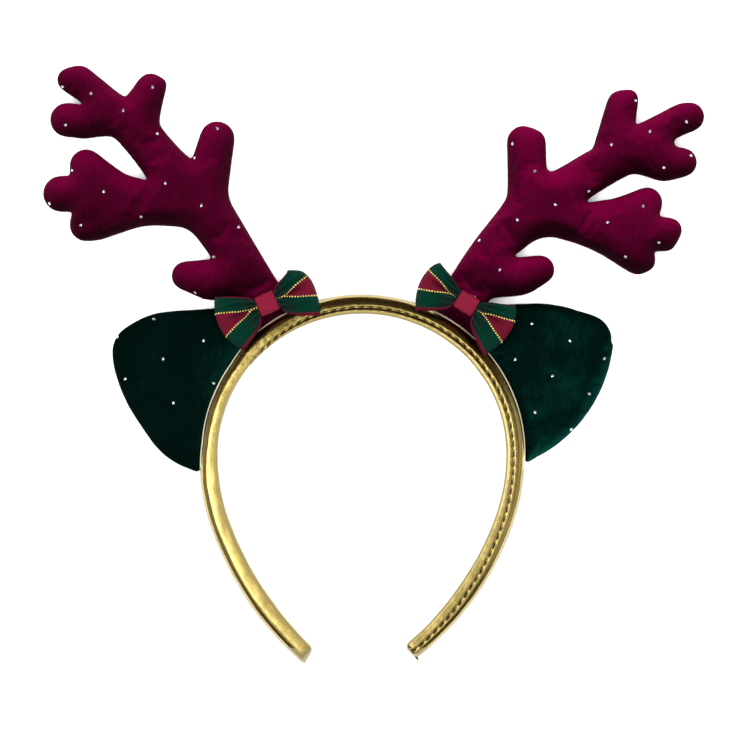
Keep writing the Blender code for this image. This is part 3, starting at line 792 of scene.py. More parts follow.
# Rings that close the hoop's tips: how far past the end, shares of thickness and width, and shift outwards.
TipRing = namedtuple("TipRing", "past thickness width skew")
TIP_RINGS = {
    LEFT: (
        (0.0, 1.0, 0.97, 0.0),
        (0.8, 0.99, 0.88, 0.1),
        (1.5, 0.95, 0.76, 0.25),
        (2.1, 0.84, 0.62, 0.5),
        (2.6, 0.68, 0.48, 0.9),
        (3.0, 0.42, 0.38, 1.8),
        (3.3, 0.22, 0.28, 2.5),
        (3.6, 0.08, 0.18, 2.9),
    ),
    RIGHT: (
        (0.0, 1.0, 1.0, 0.0),
        (0.7, 0.97, 0.98, 0.0),
        (1.3, 0.91, 0.93, 0.0),
        (1.9, 0.81, 0.84, 0.0),
        (2.35, 0.67, 0.72, 0.05),
        (2.7, 0.48, 0.54, 0.1),
        (2.9, 0.22, 0.28, 0.1),
    ),
}


def hoop_stations():
    """(side, turn, tip ring or None, distance along the sleeve) from the left tip to the right."""
    halves = {}
    for side, arcs in HOOP_ARCS.items():
        stations = []
        travelled = 0.0
        start = 0.0
        for radius, sweep in arcs:
            count = max(1, round(math.radians(sweep) * radius / STATION_STEP))
            for step in range(count):
                turn = start + sweep * step / count
                distance = travelled + math.radians(turn - start) * radius
                stations.append((side, turn, None, side * distance))
            travelled += math.radians(sweep) * radius
            start += sweep
        for ring in (TipRing(*row) for row in TIP_RINGS[side]):
            stations.append((side, start, ring, side * (travelled + ring.past)))
        halves[side] = stations
    return [*reversed(halves[LEFT]), *halves[RIGHT][1:]]


def trimmed(side, turn):
    """How much narrower the sleeve's outer side is, in millimetres, where the left ear presses on it."""
    return float(np.interp(turn, *EAR_PRESS)) if side == LEFT else 0.0


def sleeve_ring(hoop, station, around):
    """Points, normals and seam height of one ring of the sleeve, with the seam's groove pressed in."""
    side, turn, tip, travelled = station
    trim = trimmed(side, turn)
    thickness = float(np.interp(turn, GIRTH_TURNS, GIRTHS)) - trim
    width = hoop.width / MM
    past, skew, shrink = 0.0, 0.0, 1.0
    if tip:
        past, skew, shrink = tip.past, tip.skew, min(tip.thickness, tip.width)
        thickness *= tip.thickness
        width *= tip.width
    outer = min(hoop.outer_rounding / MM * shrink, thickness * 0.55, width * 0.49)
    inner = min(hoop.inner_rounding / MM * shrink, thickness * 0.4)
    section = sleeve_section(thickness, width, outer, inner)
    scale = section[1][-1] / around[-1]
    seam = float(np.interp(turn, *SEAM_TRACK[side])) * scale
    offsets = around[:-1]
    out, up, normal_out, normal_up = section_at(section, seam + offsets * scale)
    from_seam = np.minimum(offsets, around[-1] - offsets)
    beat = 0.5 + 0.5 * math.cos(2 * math.pi * travelled / (hoop.stitch_pitch / MM))
    depth = hoop.seam_depth / MM * (0.12 + 0.88 * beat)
    groove = -depth * np.exp(-((from_seam / GROOVE_WIDTH) ** 2))
    lip = LIP_HEIGHT * (1.0 - 0.45 * beat)
    lips = lip * np.exp(-(((from_seam - LIP_DISTANCE) / LIP_WIDTH) ** 2))
    foam = []
    along, outward = hoop_axes(side, turn)
    centre = hoop_point(side, turn) + along * past + outward * (skew - trim / 2)
    for place in zip(out, up):
        spot = Vector((travelled / 9.0, place[0] / 4.0, place[1] / 4.0))
        fine = Vector((travelled / 2.2, place[0] / 3.0, place[1] / 3.0 + 7.0))
        foam.append(FOAM_BROAD * noise.noise(spot) + FOAM_FINE * noise.noise(fine))
    push = (groove + lips + np.array(foam)) * min(1.0, shrink)
    out = out + normal_out * push
    up = up + normal_up * push
    points = []
    for outwards_by, upwards_by in zip(out, up):
        place = centre + outward * outwards_by
        points.append((place.x, place.y, max(0.0, width_middle(hoop) + upwards_by)))
    facing = (outward.x * normal_out[0], outward.y * normal_out[0], normal_up[0])
    heading = (along.x * side, along.y * side, 0.0)
    return points, (points[0], facing, heading)


def width_middle(hoop):
    """Height of the hoop's middle above the table, in millimetres."""
    return hoop.width / MM / 2


def stitch_places(seam, travelled, pitch):
    """One-point lines of (place, facing, heading) at every stitch along the seam."""
    marks = np.arange(math.ceil(travelled[0] / pitch + 1), travelled[-1] / pitch - 0.6) * pitch
    columns = np.array([[*place, *facing, *heading] for place, facing, heading in seam]).T
    rows = np.array([np.interp(marks, travelled, column) for column in columns]).T
    return [[(tuple(row[:3]), tuple(row[3:6]), tuple(row[6:]))] for row in rows]


def tab_mesh(hoop):
    """The small pointed tongue of leathercloth that sticks out at the right tip."""
    turn = full_turn(RIGHT)
    along, outward = hoop_axes(RIGHT, turn)
    points = []
    for out, low, high, rise in TAB_RINGS:
        centre = hoop_point(RIGHT, turn) + outward * out
        for past, up in ((low, -rise), (high, -rise), (high, rise), (low, rise)):
            place = centre + along * past
            points.append((place.x, place.y, width_middle(hoop) + TAB_LIFT + up))
    faces = [(3, 2, 1, 0)]
    for ring in range(len(TAB_RINGS) - 1):
        first = 4 * ring
        for a in range(4):
            b = (a + 1) % 4
            faces.append((first + a, first + b, first + 4 + b, first + 4 + a))
    last = 4 * (len(TAB_RINGS) - 1)
    faces.append((last, last + 1, last + 2, last + 3))
    return outwards(plain_mesh("band_tab", points, faces))


class HEADBAND_OT_sleeve(bpy.types.Operator):
    """Makes the gold leathercloth sleeve of the hoop and the stitches along its seam"""

    bl_idname = "headband.add_sleeve"
    bl_label = "Gold sleeve"

    def execute(self, context):
        hoop = context.scene.headband.hoop
        roundings = (hoop.outer_rounding / MM, hoop.inner_rounding / MM)
        perimeter = sleeve_section(GIRTHS[0], hoop.width / MM, *roundings)[1][-1]
        last = SEAM_COLUMNS[-1]
        plain = np.linspace(last, perimeter - last, round((perimeter - 2 * last) / COLUMN_STEP) + 1)
        around = np.concatenate((SEAM_COLUMNS[:-1], plain, perimeter - np.array(SEAM_COLUMNS[-2::-1])))
        rings, seam = [], []
        stations = hoop_stations()
        for station in stations:
            points, seam_point = sleeve_ring(hoop, station, around)
            rings.append(points)
            seam.append(seam_point)
        marks = [station[3] / 10 for station in stations]
        mesh = grid_mesh("band_sleeve", np.array(rings), False, True, marks, around / perimeter)
        bm = bmesh.new()
        bm.from_mesh(mesh)
        bm.verts.ensure_lookup_table()
        count = len(around) - 1
        bm.faces.new([bm.verts[i] for i in range(count)])
        bm.faces.new([bm.verts[i] for i in range(len(bm.verts) - count, len(bm.verts))])
        bm.to_mesh(mesh)
        bm.free()
        sleeve = add_piece("band_sleeve", outwards(mesh), gold_finish(hoop), ["band"])
        tree = PathTree("stitches_along_seam", False, 8, 5)
        thread = thread_finish(hoop.thread)
        stitches = tree.beads(
            "band_stitches",
            stitch_places(seam, [station[3] for station in stations], hoop.stitch_pitch / MM),
            thread,
            seed=3,
            Length=hoop.stitch_length,
            Width=hoop.thread_width,
            Height=hoop.thread_width * 0.9,
            Lean=0.16,
        )
        add_piece("band_stitches", stitches, thread)
        add_piece("band_tab", tab_mesh(hoop), sleeve.data.materials[0])
        return {"FINISHED"}


def seam_loop(node):
    """The sewn edge of a CAD velvet piece and its height, in millimetres, from the piece's own mesh."""
    bm = bmesh.new()
    bm.from_mesh(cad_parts[node].data)
    bmesh.ops.remove_doubles(bm, verts=bm.verts, dist=1e-5)
    heights = Counter(round(vert.co.z, 5) for vert in bm.verts if vert.co.z > 1e-4)
    seam_z = heights.most_common(1)[0][0]
    seam = {vert for vert in bm.verts if abs(vert.co.z - seam_z) < 2e-5}
    here = min(seam, key=lambda vert: vert.index)
    loop = [here]
    while True:
        beside = [edge.other_vert(here) for edge in here.link_edges]
        following = [
            vert
            for vert in beside
            if vert in seam and vert not in loop[-2:] and (vert not in loop or len(loop) > 2)
        ]
        if not following or following[0] == loop[0]:
            break
        here = following[0]
        loop.append(here)
    points = np.array([vert.co.xy for vert in loop]) / MM
    bm.free()
    x, y = points.T
    if np.sum(x * np.roll(y, -1) - y * np.roll(x, -1)) < 0:
        points = points[::-1]
    return points, seam_z / MM


def drawn_in(corners):
    """The corners, with those beside the pressed part of the sleeve moved in with it."""
    turns = np.arange(EAR_PRESS[0][0], EAR_PRESS[0][-1], 0.5)
    middle = np.array([hoop_point(LEFT, turn) for turn in turns])
    for i, corner in enumerate(corners):
        away = np.hypot(*(middle - corner).T)
        nearest = int(np.argmin(away))
        if away[nearest] < GIRTHS[0] / 2 + 3 * GAP:
            _, outward = hoop_axes(LEFT, turns[nearest])
            corners[i] = corner - np.array(outward) * trimmed(LEFT, turns[nearest])
    return corners


def smooth_loop(points, spacing):
    """A smooth closed curve through the points, cut into equal runs about spacing long."""
    dense = []
    count = len(points)
    for i in range(count):
        p0, p1, p2, p3 = (points[(i + k - 1) % count] for k in range(4))
        t1 = np.linalg.norm(p1 - p0) ** 0.5
        t2 = t1 + np.linalg.norm(p2 - p1) ** 0.5
        t3 = t2 + np.linalg.norm(p3 - p2) ** 0.5
        for share in np.linspace(0.0, 1.0, 8, endpoint=False):
            t = t1 + (t2 - t1) * share
            a1 = p0 * (t1 - t) / t1 + p1 * t / t1
            a2 = p1 * (t2 - t) / (t2 - t1) + p2 * (t - t1) / (t2 - t1)
            a3 = p2 * (t3 - t) / (t3 - t2) + p3 * (t - t2) / (t3 - t2)
            b1 = a1 * (t2 - t) / t2 + a2 * t / t2
            b2 = a2 * (t3 - t) / (t3 - t1) + a3 * (t - t1) / (t3 - t1)
            dense.append(b1 * (t2 - t) / (t2 - t1) + b2 * (t - t1) / (t2 - t1))
    dense = np.array([*dense, dense[0]])
    travelled = distances_along(np.hypot(*np.diff(dense, axis=0).T))
    stops = np.linspace(0.0, travelled[-1], round(travelled[-1] / spacing), endpoint=False)
    return np.stack([np.interp(stops, travelled, dense[:, axis]) for axis in (0, 1)], axis=1)


def depth_inside(outline, places):
    """How far inside a closed outline each place is; a place outside counts below zero."""
    nearest = np.full(len(places), np.inf)
    inside = np.zeros(len(places), bool)
    x, y = places[:, 0], places[:, 1]
    for (ax, ay), (bx, by) in zip(outline, np.roll(outline, -1, axis=0)):
        run_x, run_y = bx - ax, by - ay
        share = np.clip(((x - ax) * run_x + (y - ay) * run_y) / (run_x**2 + run_y**2), 0.0, 1.0)
        nearest = np.minimum(nearest, np.hypot(x - ax - run_x * share, y - ay - run_y * share))
        if ay != by:
            crosses = ((ay > y) != (by > y)) & (x < ax + run_x * (y - ay) / run_y)
            inside ^= crosses
    return np.where(inside, nearest, -nearest)


def thinned(places, gap):
    """The places, without any that lies closer than gap to an earlier one."""
    kept = np.empty_like(places)
    count = 0
    for place in places:
        if not count or np.min(np.hypot(*(kept[:count] - place).T)) > gap:
            kept[count] = place
            count += 1
    return kept[:count]


def inward_at(outline):
    """Unit vectors that point into a closed outline, one at each of its points."""
    ahead = np.roll(outline, -1, axis=0) - np.roll(outline, 1, axis=0)
    inward = np.stack((-ahead[:, 1], ahead[:, 0]), axis=1)
    return inward / np.linalg.norm(inward, axis=1)[:, None]


def cloth_plan(outline, stuffing):
    """Places and triangles that fill an outline, with rows along its seam and an even lattice inside."""
    inward = inward_at(outline)
    rows = []
    for depth in stuffing.rings:
        row = outline + inward * depth
        rows.append(row[depth_inside(outline, row) > 0.93 * depth])
    places = thinned(np.vstack(rows), 0.3 * stuffing.spacing)
    low, high = outline.min(axis=0), outline.max(axis=0)
    row_height = stuffing.spacing * math.sqrt(3) / 2
    lattice = []
    for row in range(int((high[1] - low[1]) / row_height) + 1):
        shift = stuffing.spacing / 2 * (row % 2)
        for column in range(int((high[0] - low[0]) / stuffing.spacing) + 1):
            place = (low[0] + shift + column * stuffing.spacing, low[1] + row * row_height)
            lattice.append(place)
    lattice = np.array(lattice)
    lattice = lattice[depth_inside(outline, lattice) > stuffing.rings[-1] + 0.5 * stuffing.spacing]
    places = [Vector(place) for place in (*places, *lattice)]
    seam = [Vector(place) for place in outline]
    sides = [(i, (i + 1) % len(seam)) for i in range(len(seam))]
    # A side that joins two seam points gets a point of its own, so that the cloth can rise there.
    for _ in range(6):
        filled, _, faces, *_ = delaunay_2d_cdt([*seam, *places], sides, [], 1, 1e-5)
        flat = np.array([tuple(place) for place in filled])
        on_seam = np.abs(depth_inside(outline, flat)) < 1e-3
        used = Counter()
        for face in faces:
            for a, b in zip(face, (*face[1:], face[0])):
                used[(min(a, b), max(a, b))] += 1
        bridges = [
            (a, b) for (a, b), times in used.items() if times == 2 and on_seam[a] and on_seam[b]
        ]
        if not bridges:
            break
        places += [(filled[a] + filled[b]) / 2 for a, b in bridges]
    return flat, np.array(faces), on_seam


def film_height(places, faces, on_seam):
    """Height of a film blown up over the plan. Its square root is the shape of stuffed cloth."""
    rows, columns, weights = [], [], []
    load = np.zeros(len(places))
    for k in range(3):
        a, b, c = faces[:, k], faces[:, (k + 1) % 3], faces[:, (k + 2) % 3]
        u, v = places[a] - places[c], places[b] - places[c]
        area = np.abs(u[:, 0] * v[:, 1] - u[:, 1] * v[:, 0])
        weight = np.sum(u * v, axis=1) / area / 2
        rows += [a, b]
        columns += [b, a]
        weights += [weight, weight]
        np.add.at(load, a, area / 6)
    rows, columns, weights = (np.concatenate(part) for part in (rows, columns, weights))
    diagonal = np.bincount(rows, weights, len(places))
    free = ~on_seam
    height = np.zeros(len(places))
    rest = np.where(free, load, 0.0)
    search = rest.copy()
    energy = rest @ rest
    for _ in range(800):
        pulled = diagonal * search - np.bincount(rows, weights * search[columns], len(places))
        pulled = np.where(free, pulled, 0.0)
        step = energy / (search @ pulled)
        height += step * search
        rest = rest - step * pulled
        fresh = rest @ rest
        if fresh < 1e-10 * (load @ load):
            break
        search = rest + search * fresh / energy
        energy = fresh
    return np.maximum(height, 0.0)


def filled_out(swell, most):
    """Round like a tube where the cloth is narrow, levelling off at the most that the stuffing lifts it."""
    return swell / (1.0 + (swell / most) ** 4) ** 0.25


def root_flatness(places):
    """How full an antler is: pressed flatter near the hoop, where the bow is sewn on."""
    middle = np.array(HOOP_CENTRE) + np.array((0.0, CROWN_RISE - CROWN_RADIUS))
    above = np.hypot(*(places - middle).T) - CROWN_RADIUS - GIRTHS[0] / 2
    share = np.clip((above - ROOT_LENGTH) / ROOT_FADE, 0.0, 1.0)
    return ROOT_FLATNESS + (1 - ROOT_FLATNESS) * share * share * (3 - 2 * share)


def blown_up(points, faces, loose, stuffing):
    """The points after the cloth is blown up with its seam held, none moving further than the cap."""
    mesh = plain_mesh("cloth_trial", points * CLOTH_SCALE, faces)
    trial = link(bpy.data.objects.new("cloth_trial", mesh))
    seam = trial.vertex_groups.new(name="seam")
    seam.add([int(i) for i in np.nonzero(loose == 0.0)[0]], 1.0, "REPLACE")
    cloth = trial.modifiers.new("cloth", "CLOTH")
    for setting, value in CLOTH.items():
        setattr(cloth.settings, setting, value)
    cloth.settings.uniform_pressure_force = stuffing.pressure
    cloth.settings.shrink_min = stuffing.slack
    cloth.settings.effector_weights.gravity = 0.0
    cloth.collision_settings.use_collision = False
    cloth.point_cache.frame_start = 1
    cloth.point_cache.frame_end = CLOTH_FRAMES
    scene = bpy.context.scene
    for number in range(1, CLOTH_FRAMES + 1):
        scene.frame_set(number)
    shown = trial.evaluated_get(bpy.context.evaluated_depsgraph_get())
    moved = np.array([tuple(vert.co) for vert in shown.data.vertices]) / MM / CLOTH_SCALE
    scene.frame_set(1)
    bpy.data.objects.remove(trial)
    shift = moved - points
    length = np.linalg.norm(shift, axis=1)
    shift *= (np.minimum(length, stuffing.cap) / np.maximum(length, 1e-9))[:, None]
    return points + shift * np.clip(loose / 1.2, 0.0, 1.0)[:, None]


def dented(points, dents):
    """The points with long shallow creases pressed into their upper side."""
    for dent in dents:
        turn = math.radians(dent.turn_deg)
        x = points[:, 0] - dent.x - HOOP_CENTRE.x
        y = points[:, 1] - dent.y - HOOP_CENTRE.y
        along = x * math.cos(turn) + y * math.sin(turn)
        across = -x * math.sin(turn) + y * math.cos(turn)
        press = dent.depth * np.exp(-((along / dent.length) ** 2) - (across / dent.width) ** 2)
        points[:, 2] -= np.where(points[:, 2] > 7.0, press, 0.0)
    return points


def stuffed_mesh(node, stuffing, inset, dents=(), flatness=None):
    """Two layers of velvet sewn along the CAD piece's seam, stuffed, and resting on the table."""
    corners, seam_z = seam_loop(node)
    corners = drawn_in(corners)
    outline = smooth_loop(corners, 0.62 * stuffing.spacing)
    flat, faces, on_seam = cloth_plan(outline, stuffing)
    swell = np.sqrt(2.0 * film_height(flat, faces, on_seam))
    share = flatness(flat) if flatness else 1.0
    front = np.column_stack((flat, seam_z + filled_out(swell, stuffing.front) * share))
    back = np.column_stack((flat, seam_z - filled_out(swell, stuffing.back) * share))
    back_index = np.where(on_seam, np.arange(len(flat)), len(flat) + np.cumsum(~on_seam) - 1)
    points = np.vstack((front, back[~on_seam]))
    depth = np.abs(depth_inside(outline, flat))
    loose = np.concatenate((np.where(on_seam, 0.0, depth), depth[~on_seam]))
    triangles = [tuple(int(i) for i in face) for face in faces]
    triangles += [tuple(int(back_index[i]) for i in reversed(face)) for face in faces]
    points = blown_up(points, triangles, loose, stuffing)
    points = dented(points, dents)
    below = points[:, 2] < seam_z
    rested = np.sqrt(points[:, 2] ** 2 + 0.25) / 2 + points[:, 2] / 2 - 0.02
    points[:, 2] = np.where(below, np.maximum(rested, 0.0), points[:, 2])
    points = grooved(points, outline, loose, inset)
    mesh = outwards(plain_mesh(node + "_velvet", points, triangles))
    return with_modifier(node + "_velvet", mesh, "SUBSURF", {"levels": 1, "render_levels": 1})


def grooved(points, outline, loose, inset):
    """The points with those of the seam drawn inwards and their neighbours swelling out over it."""
    inward = inward_at(outline)
    for i in np.nonzero(loose < 2.0)[0]:
        nearest = np.argmin(np.hypot(*(outline - points[i, :2]).T))
        swell = EDGE_SWELL * math.exp(-((loose[i] / EDGE_REACH) ** 2))
        points[i, :2] -= inward[nearest] * (swell if loose[i] else swell - inset)
    return points


def add_velvet(node, shades, sheen, stuffing, slot, **shape):
    """One stuffed velvet piece in place of its CAD solid."""
    finish = velvet_finish(node + "_pile", shades, sheen, NAPS_AND_PAINTED_LIGHT[node])
    piece = add_piece(node + "_velvet", stuffed_mesh(node, stuffing, **shape), finish, [node])


class HEADBAND_OT_antlers(bpy.types.Operator):
    """Makes the two stuffed burgundy velvet antlers"""

    bl_idname = "headband.add_antlers"
    bl_label = "Velvet antlers"

    def execute(self, context):
        velvet = context.scene.headband.velvet
        shades = (velvet.burgundy_shadow, velvet.burgundy, velvet.burgundy_lit)
        for node, dents in ANTLER_DENTS.items():
            shape = {"inset": velvet.seam_inset / MM, "dents": dents, "flatness": root_flatness}
            add_velvet(node, shades, velvet.burgundy_sheen, ANTLER_STUFFING, "burgundy_velvet", **shape)
        return {"FINISHED"}


class HEADBAND_OT_ears(bpy.types.Operator):
    """Makes the two thin padded green velvet ears"""

    bl_idname = "headband.add_ears"
    bl_label = "Velvet ears"

    def execute(self, context):
        velvet = context.scene.headband.velvet
        shades = (velvet.green_shadow, velvet.green, velvet.green_lit)
        for node in ("ear_left", "ear_right"):
            shape = {"inset": velvet.seam_inset / MM}
            add_velvet(node, shades, velvet.green_sheen, EAR_STUFFING, "green_velvet", **shape)
        return {"FINISHED"}


def loop_path():
    """(share of the reach, lift) round a bow loop, from the pinch's front layer to its back layer."""
    rise = np.linspace(0.0, 1.0, 17)[1:]
    ease = rise**2 * (3 - 2 * rise)
    angles = np.radians(np.linspace(0.0, 90.0, 9)[1:-1])
    reach = LOOP_CREST + (1 - LOOP_CREST) * np.sin(angles)
    out = [(LOOP_CREST * r, PINCH_LIFT + (LOOP_PUFF - PINCH_LIFT) * e) for r, e in zip(rise, ease)]
    fold = [(share, LOOP_PUFF * math.cos(angle)) for share, angle in zip(reach, angles)]
    back_fold = [(share, -LOOP_BACK_PUFF * math.cos(angle)) for share, angle in zip(reach, angles)]
    back = [(LOOP_CREST * r, -PINCH_LIFT - (LOOP_BACK_PUFF - PINCH_LIFT) * e) for r, e in zip(rise, ease)]
    return [*out, *fold, (1.0, 0.0), *reversed(back_fold), *reversed(back)]


def ribbon_row(bow, loop, bows, share, lift, phase):
    """Points across the ribbon at one place of a loop: gathered at the pinch, full width at the fold."""
    upper = ACROSS >= 0
    edge = np.where(upper, loop.top, loop.bottom)
    set_back = np.where(upper, loop.top_set_back, loop.bottom_set_back)
    fan = np.where(upper, loop.top_fan, loop.bottom_fan)
    pinch_length = bow.knot_length / 2 + PINCH_CLEARANCE
    pinch_width = bow.knot_height / 2 - PINCH_INSET
    width = pinch_width + (edge - pinch_width) * share**fan
    corner = loop.rounding * np.maximum(0.0, (ACROSS - 0.62) / 0.38) ** 2
    set_back = set_back * ACROSS * ACROSS + corner
    length = pinch_length + (loop.reach - pinch_length) * share - set_back * share * share
    sign = math.copysign(1.0, lift) if lift else 0.0
    front = max(-1.0, min(1.0, lift / PINCH_LIFT))
    crease = CREASE_DEPTH * math.sin(math.pi * min(1.0, share * 1.15)) * sign
    gathers = bows.pleat_depth / MM * (1 + 1.4 * share) * (1 - share) ** 1.3 * front
    waves = np.cos(ACROSS * PLEAT_TURN + phase + 0.6 * np.sin(ACROSS * 3.0 + phase))
    fan_folds = 0.5 * math.sin(math.pi * share) ** 2 * front
    off_edge = 1 - np.abs(ACROSS)
    folds = np.cos(ACROSS * 5.2 + phase * 1.7) * off_edge + 0.4 * np.cos(ACROSS * 10.3 - phase)
    height = lift - crease * off_edge + gathers * waves + fan_folds * folds
    drop = bows.back_drop / MM * share * (1.0 - front) / 2
    return np.column_stack((loop.side * length, width * ACROSS - drop, height))


def bow_turned(bow, points):
    """Points of a bow moved from the bow's own axes to its place on the headband."""
    turn = math.radians(bow.turn_deg)
    x = points[..., 0] * math.cos(turn) - points[..., 1] * math.sin(turn) + bow.x + HOOP_CENTRE.x
    y = points[..., 0] * math.sin(turn) + points[..., 1] * math.cos(turn) + bow.y + HOOP_CENTRE.y
    return np.stack((x, y, points[..., 2]), axis=-1)


def tucked(share):
    """How much of the ribbon's middle stripe is folded away at this share of a loop's reach."""
    return TUCKED_STRIPE * np.clip((1.0 - share) / TUCK_REACH, 0.0, 1.0)


def ribbon_grid(bow, bows, centre_z):
    """The bow's closed strip as a grid of points, row by row through both loops, and each row's share."""
    rows = []
    shares = []
    for side in (RIGHT, LEFT):
        loop = next(loop for loop in LOOPS if (loop.bow, loop.side) == (bow.name, side))
        path = [(0.0, PINCH_LIFT), *loop_path(), (0.0, -PINCH_LIFT)]
        if side == LEFT:
            path.reverse()
        phase = 1.3 * LOOPS.index(loop) + 0.4
        rows += [ribbon_row(bow, loop, bows, share, lift, phase) for share, lift in path]
        shares += [share for share, _ in path]
    grid = np.array(rows)
    grid[..., 2] += centre_z
    return bow_turned(bow, grid), np.array(shares)


def stripe_marks(shares):
    """Where each point of the strip lies across the cut ribbon, from 0 to 1."""
    hidden = tucked(shares)[:, None]
    marks = 0.5 + 0.5 * np.sign(ACROSS) * (hidden + (1 - hidden) * np.abs(ACROSS))
    return np.vstack((marks, marks[:1]))


def painted_fold_shade(shares):
    """How much painted shade each point of the strip gets, deep in the fold that runs out from the knot and
    beside the knot.
    """
    fold = np.clip((0.86 - shares) / 0.34, 0.0, 1.0)[:, None] * np.exp(-(((ACROSS - 0.05) / 0.11) ** 2))
    painted_shade_beside_knot = np.clip((0.42 - shares) / 0.16, 0.0, 1.0)[:, None] * 0.30
    return np.maximum(fold, painted_shade_beside_knot)


def line_across(grid, across):
    """The line of a grid at each row's place across it, from -1 to 1."""
    place = (across + 1) / 2 * (grid.shape[1] - 1)
    low = place.astype(int)
    share = (place - low)[:, None]
    rows = np.arange(len(grid))
    return grid[rows, low] * (1 - share) + grid[rows, low + 1] * share


def thread_lines(grid, shares, thickness):
    """Lines of (place, facing, heading) on both sides of the strip where the gold threads run."""
    lines = []
    hidden = tucked(shares)
    across = (GOLD_THREAD_ACROSS - hidden) / (1 - hidden)
    for side in (LEFT, RIGHT):
        for lift in (1.0, -1.0):
            middle = line_across(grid, side * across)
            beside = line_across(grid, side * across + 0.04)
            ahead = np.roll(middle, -1, axis=0) - np.roll(middle, 1, axis=0)
            facing = np.cross(ahead, beside - middle) * lift
            facing /= np.linalg.norm(facing, axis=1)[:, None]
            ahead /= np.linalg.norm(ahead, axis=1)[:, None]
            raised = middle + facing * (thickness / 2 + 0.02)
            line = [tuple(map(tuple, step)) for step in zip(raised, facing, ahead)]
            lines.append([*line, line[0]])
    return lines


def knot_grid(bow, centre_z):
    """The strip wrapped over the pinch: rings along the bow, each going round its thickness."""
    half_height = PINCH_LIFT + CAD_WALL / 2 + GAP + KNOT_WALL
    rings = []
    skins = ((0.0, 1), (KNOT_WALL * 0.8, -1))
    for inset, direction in skins:
        shares = np.linspace(-0.5, 0.5, KNOT_RINGS)[::direction]
        for share in shares:
            bulge = KNOT_SWELL * math.cos(math.pi * share) ** 0.7 if inset == 0.0 else 0.0
            ridge = KNOT_RIDGE * math.cos(share * 2 * math.pi * 2.5) if inset == 0.0 else 0.0
            half_y = bow.knot_height / 2 - KNOT_SWELL + bulge + ridge - inset
            half_z = half_height + bulge + ridge - inset
            ring = []
            for step in range(KNOT_POINTS):
                angle = 2 * math.pi * step / KNOT_POINTS
                c, s = math.cos(angle), math.sin(angle)
                power = abs(c) ** KNOT_SQUARENESS + abs(s) ** KNOT_SQUARENESS
                round_off = power ** (-1 / KNOT_SQUARENESS)
                y, z = half_y * c * round_off, centre_z + half_z * s * round_off
                ring.append((share * bow.knot_length, y, z))
            rings.append(ring)
    return bow_turned(bow, np.array(rings))


class HEADBAND_OT_bows(bpy.types.Operator):
    """Makes the two striped ribbon bows, their gold threads and the crimson knots"""

    bl_idname = "headband.add_bows"
    bl_label = "Ribbon bows"

    def execute(self, context):
        bows = context.scene.headband.bows
        cloth, knot_cloth, metal = ribbon_finish(bows), knot_finish(bows), gold_thread_finish(bows)
        tree = PathTree("glints_along_thread", True, 6, 4)
        thickness = bows.ribbon_thickness / MM
        for bow in BOWS:
            centre_z = bow.seat_z + KNOT_WALL + GAP + CAD_WALL / 2 + PINCH_LIFT
            grid, shares = ribbon_grid(bow, bows, centre_z)
            middle = np.vstack((grid[:, RIBBON_COLUMNS // 2], grid[:1, RIBBON_COLUMNS // 2]))
            steps = np.linalg.norm(np.diff(middle, axis=0), axis=1)
            marks = distances_along(steps) / (bows.rib_pitch / MM) / 10
            mesh = grid_mesh(bow.name, grid, True, False, marks, stripe_marks(shares))
            # The strip carries painted shade for its fold and for the cloth beside the knot, which the
            # ribbon's finish reads.
            crease = mesh.attributes.new("crease", "FLOAT", "POINT")
            crease.data.foreach_set("value", painted_fold_shade(shares).ravel())
            wall = {"thickness": bows.ribbon_thickness, "offset": 0.0}
            mesh = outwards(with_modifier(bow.name + "_stripes", mesh, "SOLIDIFY", wall))
            ribbon = add_piece(bow.name + "_stripes", mesh, cloth, [bow.name + "_ribbon"])
            threads = tree.beads(
                bow.name + "_threads",
                thread_lines(grid, shares, thickness),
                metal,
                seed=5,
                Pitch=bows.thread_pitch,
                Length=bows.thread_pitch * 0.66,
                Width=bows.thread_width,
                Height=bows.thread_width * 0.4,
                Lean=0.5,
            )
            threads_piece = add_piece(bow.name + "_threads", threads, metal)
            knot_marks = (np.linspace(0, 1, 2 * KNOT_RINGS + 1), np.linspace(0, 1, KNOT_POINTS + 1))
            mesh = outwards(grid_mesh(bow.name, knot_grid(bow, centre_z), True, True, *knot_marks))
            knot = add_piece(bow.name + "_wrap", mesh, knot_cloth, [bow.name + "_knot"])
            thick = 2 * (PINCH_LIFT + CAD_WALL / 2 + GAP + KNOT_WALL)
            around = WRAP_SHARE * (bow.knot_height + thick) * MM
        return {"FINISHED"}


def surface_lines(node, places, from_above=True):
    """One-point lines of (place, facing, heading) where vertical rays meet a velvet piece."""
    mesh = bpy.data.objects[node + "_velvet"].data
    surface = [vert.co for vert in mesh.vertices], [face.vertices for face in mesh.polygons]
    tree = BVHTree.FromPolygons(*surface)
    side = 1.0 if from_above else -1.0
    lines = []
    for number, (x, y) in enumerate(places):
        start = Vector(((x + HOOP_CENTRE.x) * MM, (y + HOOP_CENTRE.y) * MM, 0.05 * side))
        place, normal, _, _ = tree.ray_cast(start, Vector((0.0, 0.0, -side)))
        if place is None or (not from_above and place.z < CLEAR_OF_TABLE):
            continue
        turn = 2.4 * number
        heading = Vector((math.cos(turn), math.sin(turn), 0.0))
        heading = (heading - normal * heading.dot(normal)).normalized()
        lines.append([(tuple(place / MM), tuple(normal), tuple(heading))])
    return lines


